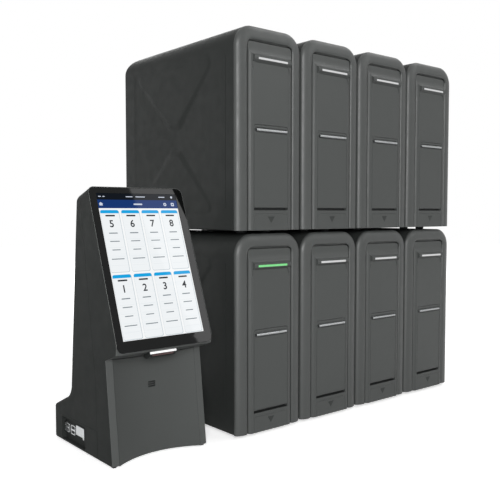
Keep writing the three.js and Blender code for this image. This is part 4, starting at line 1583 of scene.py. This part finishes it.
    def dress_frame(self, shape: Shape) -> Shape:
        """Dresses the front frame: satin strips in front, and painted shade at the sides, in the
        housing's darker finish.

        Args:
            shape: the front frame.

        Returns:
            The same shape.
        """
        FRAME.dress(shape)
        # Painted shade: faces turned to the side get the darker housing finish, though they are the
        # frame's plastic.
        shape.data.materials.append(HOUSING.material())
        for face in shape.data.polygons:
            if abs(face.normal.x) > 0.8:
                face.material_index = 1
        return shape

    def glass_outline(self, rim: float) -> Outline:
        """The cover glass's outline on the screen's face, a rim's width in from its edges."""
        right, top, corner = self.width - rim, self.screen_length - rim, self.glass_corner
        return rounded_rectangle(rim, right, rim, top, corner, corner, 10)

    def display_outline(self, margin: float) -> Outline:
        """Draws the display's outline on the screen's face.

        Args:
            margin: the margin round it.

        Returns:
            The outline.
        """
        middle, across = self.screen_length / 2 + self.display_middle, self.width / 2
        half_width, half_length = (half + margin for half in self.display_half)
        left, right = across - half_width, across + half_width
        return rounded_rectangle(left, right, middle - half_length, middle + half_length, 0, 0)

    def panel_plan(self, height: float, sagitta: float) -> Outline:
        """Draws the concave panel's plan.

        Args:
            height: the height that it is drawn at.
            sagitta: how deep the hollow is there.

        Returns:
            The front face from left to right, then the rear one back.
        """
        half = self.width / 2 - self.strip_width - self.gap
        radius = (half * half + sagitta * sagitta) / (2 * sagitta)
        centre = (self.width / 2, self.front(height) + sagitta - radius)

        def face(reach: float) -> Outline:
            """One face of the panel, from left to right."""
            angle = math.asin(half / reach)
            return arc(centre, reach, math.pi / 2 + angle, -2 * angle, self.panel_steps)

        return face(radius) + face(radius + self.panel_thickness)[::-1]

    def make_front_panel(self) -> Shape:
        """The concave front panel with its speaker slots, cut off under the head."""
        top = self.head(0, self.lip())[1]
        foot, rim = self.panel_plan(0, self.foot_sagitta), self.panel_plan(top, self.top_sagitta)
        panel = prism("front_panel", foot, Section.PLAN, 0, top)
        raised = {(round(x, 3), round(y, 3)): place for (x, y), place in zip(foot, rim)}
        for vertex in panel.data.vertices:
            x, y, z = vertex.co / MILLIMETRE
            if z > top / 2:
                vertex.co = Vector((*raised[(round(x, 3), round(y, 3))], top)) * MILLIMETRE
        above = [self.head(up, inward) for up, inward in ((-self.gap, 0), (-self.gap, 120))]
        above += [self.head(90, 120), self.head(90, 0)]
        tools = [prism("above_lip", above, Section.SIDE, -5, self.width + 5)]
        left, right = self.width / 2 - self.slot_half, self.width / 2 + self.slot_half
        for level in self.slot_levels:
            low, high = level - self.slot_rise, level + self.slot_rise
            slot = rounded_rectangle(left, right, low, high, 0.5, 0.5, 3)
            tools.append(prism("speaker_slot", slot, Section.FRONT, 0, 60))
        return finish_edges(cut_all(panel, tools), 0.0, fold=35)

    def make_speaker_back(self) -> Shape:
        """The black gauze behind the speaker slots."""
        middle, half, (low, high) = self.width / 2, self.gauze_half, self.gauze_span
        depth = self.front((low + high) / 2) + self.gauze_inset
        plate = block("speaker_back", (middle - half, depth, low), (middle + half, depth + 1, high))
        return finish_edges(plate, 0.3)

    def make_base(self) -> Shape:
        """The base with its port bay, socket holes and button hole."""
        front, middle = self.seam(self.seam_height) + self.gap, self.width / 2
        outline = rounded_rectangle(0, self.width, front, self.depth, 0, 0)
        base = prism("base", outline, Section.PLAN, 0, self.seam_height)
        self.round_plan(base)
        radius = self.bay_radius
        bay = rounded_rectangle(*self.bay_depths, *self.bay_heights, radius, radius, 4)
        tools = [prism("port_bay", bay, Section.SIDE, -5, self.bay_floor)]
        for place in self.usb_places:
            hole = (3, place - 0.3, 13), (26, place + self.usb_width + 0.3, 28)
            tools.append(block("socket_hole", *hole))
        ends = [(middle, self.depth + y, self.button_height) for y in (-12, 5)]
        tools.append(rod("button_hole", self.button_radius + 0.5, *ends))
        cut_all(base, tools)
        bevel(base, 2.0, 4, lambda a, b, fold: fold > 40 and a.z < 0.1 and b.z < 0.1)
        return finish_edges(base, 0.35, 2, 40)

    def make_pads(self) -> Shape:
        """The rubber pads under the base and the front strips."""
        pads, inset = [], self.pad_inset
        for x in (inset, self.width - inset):
            for y in (self.seam(self.seam_height) + inset, self.depth - inset):
                pads.append(rod("pad", self.pad_radius, (x, y, -2), (x, y, 0.2), 40))
        near, far = self.front(0) + 3, self.front(0) + 9
        for x in (3.0, self.width - 8.5):
            pads.append(block("strip_pad", (x, near, -2), (x + 5.5, far, 0.2)))
        return finish_edges(join(pads, "pads"), 0.4)

    def make_cover_glass(self) -> Shape:
        """The black-printed cover glass, with a window for the picture."""
        outline = self.glass_outline(self.glass_rim + self.gap)
        glass = self.head_prism("cover_glass", outline, 0, self.glass_thickness)
        window = rounded_rectangle(*self.window, 0, 0)
        cut_all(glass, [self.head_prism("window", window, -3, 5)])
        return finish_edges(glass, 0.2, 2, 40)

    def make_scanner(self) -> Shape:
        """The scanner's body under the lip."""
        corners = ((-0.3, 14.4, 0), (-0.3, 33, 0), (-3.4, 33, 1))
        corners += ((-7, 28, 2), (-7, 20, 2), (-3.9, 14.4, 1))
        section = soft_outline([(*self.head(up, inward), r) for up, inward, r in corners], 4)
        middle, half = self.width / 2, self.scanner_half
        body = prism("scanner_body", section, Section.SIDE, middle - half, middle + half)
        return finish_edges(body, 0.6, 3)

    def make_scanner_lamp(self) -> Shape:
        """The scanner's lamp lens across the front of its body."""
        left, right = (self.width / 2 + across for across in self.scanner_lamp_span)
        places = ((-0.4, 14), (-0.4, 15), (-3.4, 15), (-3.4, 14))
        section = [self.head(up, inward) for up, inward in places]
        return finish_edges(prism("scanner_lamp", section, Section.SIDE, left, right), 0.3)

    def make_scanner_window(self) -> Shape:
        """The scanner's dark red window on its sloping underside."""
        middle, half = self.width / 2, self.scanner_window_half
        places = ((-4.2, 14.5), (-6.2, 18), (-5.9, 18.6), (-3.8, 15))
        section = [self.head(up, inward) for up, inward in places]
        window = prism("scanner_window", section, Section.SIDE, middle - half, middle + half)
        return finish_edges(window, 0.1, 1)

    def make_usb(self, place: float) -> tuple[Shape, Shape]:
        """A pair of stacked sockets.

        Args:
            place: the depth of the pair's front side, in millimetres.

        Returns:
            The plated shell and the plastic tongues.
        """
        near, low, (width, rise) = self.usb_near, self.usb_low, self.usb_opening
        side = (self.usb_width - width) / 2
        outline = rounded_rectangle(
            place, place + self.usb_width, low, low + self.usb_height, 2.2, 2.2, 5
        )
        shell = prism("usb_shell", outline, Section.SIDE, near, near + self.usb_length)
        tongues = []
        for level in (0, 1):
            floor = low + 1.3 + level * self.usb_pitch
            start = place + side
            opening = rounded_rectangle(start, start + width, floor, floor + rise, 1.2, 1.2, 4)
            bore = prism("usb_bore", opening, Section.SIDE, near - 2, near + 14)
            combine(shell, bore, Boolean.CUT)
            corners = (near + 1.6, place + 2.4, floor + 2.2), (near + 14.5, place + 12, floor + 4.1)
            tongues.append(block("tongue", *corners))
        return finish_edges(shell, 0.2), finish_edges(join(tongues, "usb_tongues"), 0.2)

    def make_port_plate(self) -> Shape:
        """The silver port plate with a tab at its lower front corner."""
        (front, rear), (low, high), tab = self.plate_depths, self.plate_heights, self.plate_tab
        corners = [(front, tab, 0.8), (front + 3.4, tab, 0.8), (front + 5.2, low, 0)]
        corners += [(rear, low, 1.2), (rear, high, 1.2), (front, high, 1.2)]
        plate = prism("port_plate", soft_outline(corners, 4), Section.SIDE, *self.plate_span)
        return finish_edges(plate, 0.2)

    def make_button(self) -> Shape:
        """The power button: a domed cap on a collar."""
        middle, seat, height = self.width / 2, self.depth - 3.3, self.button_height
        ends = (middle, seat - 0.6, height), (middle, self.depth + 2.2, height)
        cap = rod("button", self.button_radius, *ends)
        bevel(cap, 1.4, 4, lambda a, b, fold: fold > 40 and min(a.y, b.y) > self.depth)
        ends = (middle, seat - 2, height), (middle, seat, height)
        combine(cap, rod("collar", self.collar_radius, *ends), Boolean.ADD)
        return finish_edges(cap, 0.2)

    def mount(self, product: Product, body: str = "system") -> None:
        """Moves a finished shape to its place, dresses it and lets it ride.

        Args:
            product: the shape, in the console's own frame, with its finish, slot and nodes.
            body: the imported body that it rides.
        """
        shape = product.shape
        shape.data.transform(Matrix.Translation(Vector(self.origin) * MILLIMETRE))
        shape.name = shape.data.name = f"console_{product.label}_piece"
        if product.finish:
            product.finish.dress(shape)
        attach(shape, body)
        if product.replaced:
            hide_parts(*(f"console_{label}" for label in product.replaced))
        log.info("%s rides its body", shape.name)

    def products(self) -> list[Product]:
        """Builds the console's pieces that don't move."""
        sockets = [self.make_usb(place) for place in self.usb_places]
        housing, strips = self.make_housing(), self.make_front_frame()
        panel = self.make_front_panel()
        glass, shell, steel = "screen_glass", "shell_plastic", "socket_steel"
        made = [
            Product(housing, "housing", HOUSING, shell, ("housing",)),
            Product(strips, "front_frame", None, "frame_plastic", ("front_frame",)),
            Product(panel, "front_panel", PANEL, "panel_plastic", ("front_panel",)),
            Product(self.make_speaker_back(), "speaker_back", DARK, shell),
            Product(self.make_base(), "base", HOUSING, shell, ("base",)),
            Product(self.make_pads(), "pads", RUBBER, shell),
            Product(self.make_cover_glass(), "cover_glass", GLASS, glass, ("screen_glass",)),
            Product(self.make_scanner(), "scanner", SHELL, shell, ("barcode_scanner",)),
            Product(self.make_scanner_lamp(), "scanner_lamp", SCAN_LAMP, shell),
            Product(self.make_scanner_window(), "scanner_window", RED_WINDOW, shell),
        ]
        for (shells, tongues), end in zip(sockets, ("rear", "front")):
            made.append(Product(shells, f"usb_{end}", PLATED, steel, (f"usb_port_{end}",)))
            made.append(Product(tongues, f"usb_{end}_tongues", DARK, steel))
        made.append(Product(self.make_port_plate(), "port_plate", PLATED, steel, ("port_plate",)))
        picture = Screen(self).build()
        made.append(Product(picture, "screen_image", None, "display", ("display_panel",)))
        return made

    def build(self) -> None:
        """Builds the console's pieces and puts them in place."""
        for product in self.products():
            self.mount(product)
        button = self.make_button()
        self.mount(
            Product(button, "power_button", FRAME, "frame_plastic", ("power_button",)),
            "console_power_button",
        )


PAPER = ScreenImage("screen_background", "#fdfefe", "#f8fafb", 0.96)
CARD = ScreenImage("screen_card", "#f6f8f9", "#eef3f6", 0.97)
CARD_EDGE = ScreenImage("screen_card_edge", "#c3ced4", "#b8c4cb")
HEADING = ScreenImage("screen_card_heading", "#0ba5e3", "#0a9fdb")
STATUS = ScreenImage("screen_status_bar", "#010914", "#020a16")
TITLE = ScreenImage("screen_title_bar", "#0a326d", "#0b3270")
INK = ScreenImage("screen_dark_ink", "#272b30", "#2d3136")
SOFT_INK = ScreenImage("screen_grey_ink", "#7d868c", "#899197")
RULE = ScreenImage("screen_rule", "#dde3e7", "#e3e8eb")
LIGHT_INK = ScreenImage("screen_light_ink", "#c6cfde", "#d6ddea")


class Layer(Enum):
    """How far behind the glass's face each layer of the picture lies, in millimetres."""

    PAPER = 0.5
    CARD_EDGE = 0.46
    FACE = 0.42
    RULE = 0.39
    BAR = 0.38
    SIGN = 0.36
    SIGN_HOLE = 0.34
    NUMBER = 0.3


@dataclass
class Screen:
    """The picture on the console's screen, as thin layers measured on the screen's face."""

    console: Console
    left: float = 12.0
    right: float = 148.0
    bottom: float = 17.4
    title_bottom: float = 212.4
    title_middle: float = 218.8
    title_top: float = 225.6
    status_middle: float = 230.6
    top: float = 235.8
    layer_thickness: float = 0.05
    display_span: Pair = (2.6, 8.5)
    paper_back: float = 2.7
    card_width: float = 29.4
    card_height: float = 93.2
    card_pitch: float = 34.0
    card_radius: float = 2.8
    heading_height: float = 5.0
    number_drop: float = 26.0
    number_size: float = 15.0
    number_weight: float = 0.28
    number_extrusion: float = 0.02
    bars: tuple[Point, ...] = ((47.6, 15.6, 1.4), (60.4, 13.4, 1.4), (74.0, 20.4, 1.4))
    rules: tuple[float, ...] = (44.2, 57.0, 70.6, 83.6)
    rows: tuple[tuple[float, float, tuple[int, ...]], ...] = (
        (13.6, 209.6, (5, 6, 7, 8)),
        (13.9, 112.4, (1, 2, 3, 4)),
    )
    status_bars: tuple[Pair, ...] = (
        (17.0, 4.4),
        (23.4, 3.6),
        (65.5, 11.5),
        (84.5, 16.5),
        (121.8, 11.0),
    )
    shapes: list[Shape] = field(default_factory=list)

    def layer(self, outline: Outline, finish: Finish, level: Layer) -> None:
        """Adds one thin layer of the picture.

        Args:
            outline: its outline on the screen's face.
            finish: its colour.
            level: where it lies behind the glass's face.
        """
        back = level.value + self.layer_thickness
        shape = self.console.head_prism("layer", outline, level.value, back)
        self.shapes.append(finish.dress(shape))

    def bar(
        self, across: float, up: float, width: float, height: float, finish: Finish, level: Layer
    ) -> None:
        """Adds a rounded bar about a middle point, in place of a word.

        Args:
            across: how far across the screen its middle lies.
            up: how far up.
            width: its width.
            height: its height.
            finish: its colour.
            level: where it lies behind the glass's face.
        """
        radius, half, rise = min(width, height) / 2 - 0.05, width / 2, height / 2
        outline = rounded_rectangle(
            across - half, across + half, up - rise, up + rise, radius, radius, 3
        )
        self.layer(outline, finish, level)

    def number(self, digit: int, across: float, up: float) -> None:
        """Adds a card's number, drawn as raised type 11 mm high.

        Args:
            digit: the number.
            across: how far across its middle lies.
            up: how far up its foot lies.
        """
        bpy.ops.object.select_all(action="DESELECT")
        bpy.ops.object.text_add()
        text = bpy.context.active_object
        text.data.body = str(digit)
        text.data.size = self.number_size * MILLIMETRE
        text.data.extrude = self.number_extrusion * MILLIMETRE
        text.data.offset = self.number_weight * MILLIMETRE
        text.data.align_x = "CENTER"
        bpy.ops.object.convert(target="MESH")
        shape = settle("number")
        shape.data.transform(self.console.head_frame(across, up, Layer.NUMBER.value))
        self.shapes.append(INK.dress(shape))

    def card(self, left: float, top: float) -> None:
        """Adds one module's card: its edge, face, heading and lines.

        Args:
            left: where its left edge lies.
            top: where its top edge lies.
        """
        right, bottom, radius = left + self.card_width, top - self.card_height, self.card_radius
        middle = left + self.card_width / 2
        edge = rounded_rectangle(left - 0.3, right + 0.9, bottom - 0.8, top, 3, 3, 4)
        face = rounded_rectangle(left, right, bottom, top, radius, radius, 4)
        heading = rounded_rectangle(left, right, top - self.heading_height, top, radius, 0, 4)
        self.layer(edge, CARD_EDGE, Layer.CARD_EDGE)
        self.layer(face, CARD, Layer.FACE)
        self.layer(heading, HEADING, Layer.BAR)
        self.bar(middle, top - 8.6, 15.5, 2.4, INK, Layer.BAR)
        for drop, width, height in ((35.2, 14.0, 1.6), *self.bars):
            self.bar(middle, top - drop, width, height, SOFT_INK, Layer.BAR)
        for drop in self.rules:
            self.bar(middle, top - drop, 24.0, 0.35, RULE, Layer.RULE)

    def icons(self) -> None:
        """Adds the bars and the plain icons of the status and title bars."""
        status, title = self.status_middle, self.title_middle
        for across, width in self.status_bars:
            self.bar(across, status, width, 1.3, LIGHT_INK, Layer.SIGN)
        self.bar(139.6, status, 3.6, 3.6, LIGHT_INK, Layer.SIGN)
        self.bar(78.0, title, 15.0, 2.3, LIGHT_INK, Layer.SIGN)
        self.bar(125.4, title, 5.4, 5.4, LIGHT_INK, Layer.SIGN)
        self.bar(125.4, title, 2.2, 2.2, TITLE, Layer.SIGN_HOLE)
        frame_sign = rounded_rectangle(136.4, 141.8, title - 2.7, title + 2.7, 1, 1, 3)
        self.layer(frame_sign, LIGHT_INK, Layer.SIGN)
        hole = rounded_rectangle(138.0, 140.2, title - 1.1, title + 1.1, 0.4, 0.4, 2)
        self.layer(hole, TITLE, Layer.SIGN_HOLE)
        home = [(14.6, 216.6), (19.6, 216.6), (19.6, 219.2), (20.4, 219.2)]
        home += [(17.1, 221.9), (13.8, 219.2), (14.6, 219.2)]
        self.layer(home, LIGHT_INK, Layer.SIGN)

    def build(self) -> Shape:
        """Builds the display and its picture.

        Returns:
            One shape of all the layers, each with its own finish.
        """
        console, left, right = self.console, self.left, self.right
        panel = console.head_prism("display", console.display_outline(0), *self.display_span)
        self.shapes.append(DARK.dress(finish_edges(panel, 0.3)))
        whole = rounded_rectangle(left, right, self.bottom, self.top, 0, 0)
        paper = console.head_prism("paper", whole, Layer.PAPER.value, self.paper_back)
        self.shapes.append(PAPER.dress(paper))
        status = rounded_rectangle(left, right, self.title_top, self.top, 0, 0)
        title = rounded_rectangle(left, right, self.title_bottom, self.title_top, 0, 0)
        self.layer(status, STATUS, Layer.FACE)
        self.layer(title, TITLE, Layer.FACE)
        self.icons()
        for start, height, digits in self.rows:
            for index, digit in enumerate(digits):
                edge = start + index * self.card_pitch
                self.card(edge, height)
                self.number(digit, edge + self.card_width / 2, height - self.number_drop)
        return join(self.shapes, "screen_image")


def dress_packed_nodes() -> None:
    """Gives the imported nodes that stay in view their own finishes."""
    for name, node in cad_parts.items():
        if name.endswith("cartridge_bay"):
            CHASSIS.dress(node)
        elif name == "console_main_board":
            BOARD.dress(node)


@dataclass(frozen=True)
class SoftLamp:
    """A square soft lamp that faces the object.

    Attributes:
        name: the lamp's name.
        place: where it stands, in metres.
        size: its side, in metres.
        power: its power, in watts.
    """

    name: str
    place: Point
    size: float
    power: float


@dataclass
class Studio:
    """A pale floor under plain soft light, with the camera where the photograph was taken.

    Places and sizes are in metres, angles in degrees and powers in watts.
    """

    camera_place: Point = (-0.8412, -0.99825, 0.3567)
    camera_yaw: float = 39.772
    camera_pitch: float = 3.1227
    lens: float = 50.0
    sensor_width: float = 36.0
    clip_start: float = 0.01
    target: Point = (-0.1, -0.1, 0.3)
    lamps: tuple[SoftLamp, ...] = (
        SoftLamp("key_lamp", (-1.5, -2.26, 0.94), 1.3, 78.0),
        SoftLamp("top_lamp", (0.0, 0.3, 2.6), 2.2, 6.0),
        SoftLamp("rim_lamp", (1.5, -0.5, 2.3), 1.0, 9.0),
        SoftLamp("back_lamp", (-2.24, 3.5, 0.75), 2.0, 27.0),
        SoftLamp("fill_lamp", (1.5, 3.1, 1.5), 2.4, 70.0),
    )
    gloss_edge: tuple[Pair, Pair] = ((68.0, 246.0), (134.0, 0.0))
    soft_box: Pair = (0.4, 1.0)
    soft_box_distance: float = 2.5
    soft_box_power: float = 5.9
    surround_light: float = 0.15
    floor_size: float = 12.0
    floor_blotch: float = 400.0
    lift_radii: Pair = (0.6, 1.8)
    lift_strengths: Pair = (0.52, 0.95)

    def seen(self, tree: Tree, kinds: Sequence[str]) -> Socket:
        """Tells some kinds of light path from the others.

        Args:
            tree: the node tree.
            kinds: the kinds, by the names of their outputs.

        Returns:
            A factor that is 1 on a path of any of the kinds.
        """
        path = add_node(tree, "ShaderNodeLightPath", {})
        factor = path.outputs[kinds[0]]
        for kind in kinds[1:]:
            inputs = {0: factor, 1: path.outputs[kind]}
            factor = add_node(tree, "ShaderNodeMath", inputs, operation="MAXIMUM").outputs[0]
        return factor

    def world(self) -> None:
        """A white surround for the camera and reflections, and a softer light from all round."""
        world = bpy.data.worlds.new("studio")
        bpy.context.scene.world = world
        world.use_nodes = True
        tree = world.node_tree
        tree.nodes.clear()
        seen = self.seen(tree, ("Is Camera Ray", "Is Transmission Ray", "Is Glossy Ray"))
        pure = linear("#ffffff")
        light, white = (
            add_node(tree, "ShaderNodeBackground", {"Color": pure, "Strength": strength})
            for strength in (self.surround_light, 1.0)
        )
        inputs = {0: seen, 1: light.outputs[0], 2: white.outputs[0]}
        mixed = add_node(tree, "ShaderNodeMixShader", inputs)
        add_node(tree, "ShaderNodeOutputWorld", {"Surface": mixed.outputs[0]})

    def floor_shader(self, tree: Tree) -> Socket:
        """Matt and pale to the camera and in reflections, duller where it lights the object.

        Args:
            tree: the node tree.

        Returns:
            The shader's output.
        """
        seen = self.seen(tree, ("Is Camera Ray", "Is Glossy Ray"))
        pattern = noise(tree, self.floor_blotch, 2)
        inputs = {"Factor": pattern, "A": linear("#f4f4f4"), "B": linear("#f0f0f0")}
        colour = add_node(tree, "ShaderNodeMix", inputs, data_type="RGBA").outputs["Result"]
        matt = add_node(tree, "ShaderNodeBsdfDiffuse", {"Color": colour})
        dull = add_node(tree, "ShaderNodeBsdfDiffuse", {"Color": linear("#a8a8a8")})
        place = add_node(tree, "ShaderNodeTexCoord", {}).outputs["Object"]
        away = add_node(tree, "ShaderNodeVectorMath", {0: place}, operation="LENGTH")
        near, far = self.lift_radii
        low, high = self.lift_strengths
        spread = {"Value": away.outputs["Value"], "From Min": near, "From Max": far}
        spread |= {"To Min": low, "To Max": high}
        strength = add_node(tree, "ShaderNodeMapRange", spread).outputs[0]
        glow = {"Color": linear("#ffffff"), "Strength": strength}
        lift = add_node(tree, "ShaderNodeEmission", glow)
        both = add_node(tree, "ShaderNodeAddShader", {0: matt.outputs[0], 1: lift.outputs[0]})
        inputs = {0: seen, 1: dull.outputs[0], 2: both.outputs[0]}
        return add_node(tree, "ShaderNodeMixShader", inputs).outputs[0]

    def floor(self) -> None:
        """A wide pale floor that keeps the shadow and is white to the camera elsewhere."""
        bpy.ops.object.select_all(action="DESELECT")
        bpy.ops.mesh.primitive_plane_add(size=self.floor_size, location=(0, 0, 0))
        floor = settle("floor")
        material = bpy.data.materials.new("pale_matt_floor")
        material.use_nodes = True
        tree = material.node_tree
        tree.nodes.clear()
        add_node(tree, "ShaderNodeOutputMaterial", {"Surface": self.floor_shader(tree)})
        floor.data.materials.append(material)

    def area_lamp(self, name: str, place: Vector, turn: Euler, size: Pair, power: float) -> None:
        """Adds an area lamp.

        Args:
            name: its name.
            place: where it stands.
            turn: its turn, as Euler angles.
            size: its width and height.
            power: its power.
        """
        bpy.ops.object.select_all(action="DESELECT")
        bpy.ops.object.light_add(type="AREA", location=place, rotation=turn)
        lamp = bpy.context.active_object
        lamp.name = name
        lamp.data.shape = "RECTANGLE"
        lamp.data.size, lamp.data.size_y = size
        lamp.data.energy = power

    def soft_lamp(self, lamp: SoftLamp) -> None:
        """Adds one of the large soft lamps, turned to the object.

        Args:
            lamp: the lamp.
        """
        place = Vector(lamp.place)
        facing = (Vector(self.target) - place).to_track_quat("-Z", "Y").to_euler()
        self.area_lamp(lamp.name, place, facing, (lamp.size, lamp.size), lamp.power)

    def screen_lamp(self, console: Console) -> None:
        """Adds the soft box whose edge is seen slanting across the screen.

        Args:
            console: the console, whose screen mirrors the camera to find the box's place.
        """
        turn = math.radians(console.tilt)
        outward = Vector((0, -math.cos(turn), math.sin(turn)))

        def on_screen(across: float, up: float) -> Vector:
            """A point of the screen's face, in metres."""
            return (Vector(console.origin) + Vector((across, *console.head(up, 0)))) * MILLIMETRE

        upper, lower = on_screen(*self.gloss_edge[0]), on_screen(*self.gloss_edge[1])
        eye = Vector(self.camera_place)
        mirrored = eye - outward * (2 * (eye - upper).dot(outward))
        away = (upper - mirrored).cross(lower - mirrored).normalized()
        if away.x < 0:
            away = -away
        ray = ((upper + lower) / 2 - mirrored).normalized()
        place = (upper + lower) / 2 + ray * self.soft_box_distance + away * self.soft_box[0] / 2
        facing = Matrix((away, ray.cross(away), ray)).transposed().to_euler()
        self.area_lamp("screen_lamp", place, facing, self.soft_box, self.soft_box_power)

    def camera(self) -> None:
        """Adds the camera at the photograph's place and angle."""
        turn = (math.radians(90 - self.camera_pitch), 0, -math.radians(self.camera_yaw))
        bpy.ops.object.select_all(action="DESELECT")
        bpy.ops.object.camera_add(location=self.camera_place, rotation=turn)
        camera = bpy.context.active_object
        camera.data.lens = self.lens
        camera.data.sensor_width = self.sensor_width
        camera.data.clip_start = self.clip_start
        bpy.context.scene.camera = camera

    def build(self) -> None:
        """Sets up the camera, the surround, the floor and the lamps."""
        self.camera()
        self.world()
        self.floor()
        for lamp in self.lamps:
            self.soft_lamp(lamp)
        self.screen_lamp(Console())
        bpy.context.scene.view_settings.view_transform = "Standard"


def main() -> None:
    """Builds the studio, the modules and the console."""
    logging.basicConfig(level=logging.INFO, format="%(message)s")
    Studio().build()
    ModuleRack().build(AnalysisModule())
    Console().build()
    dress_packed_nodes()


if __name__ == "__main__":
    main()
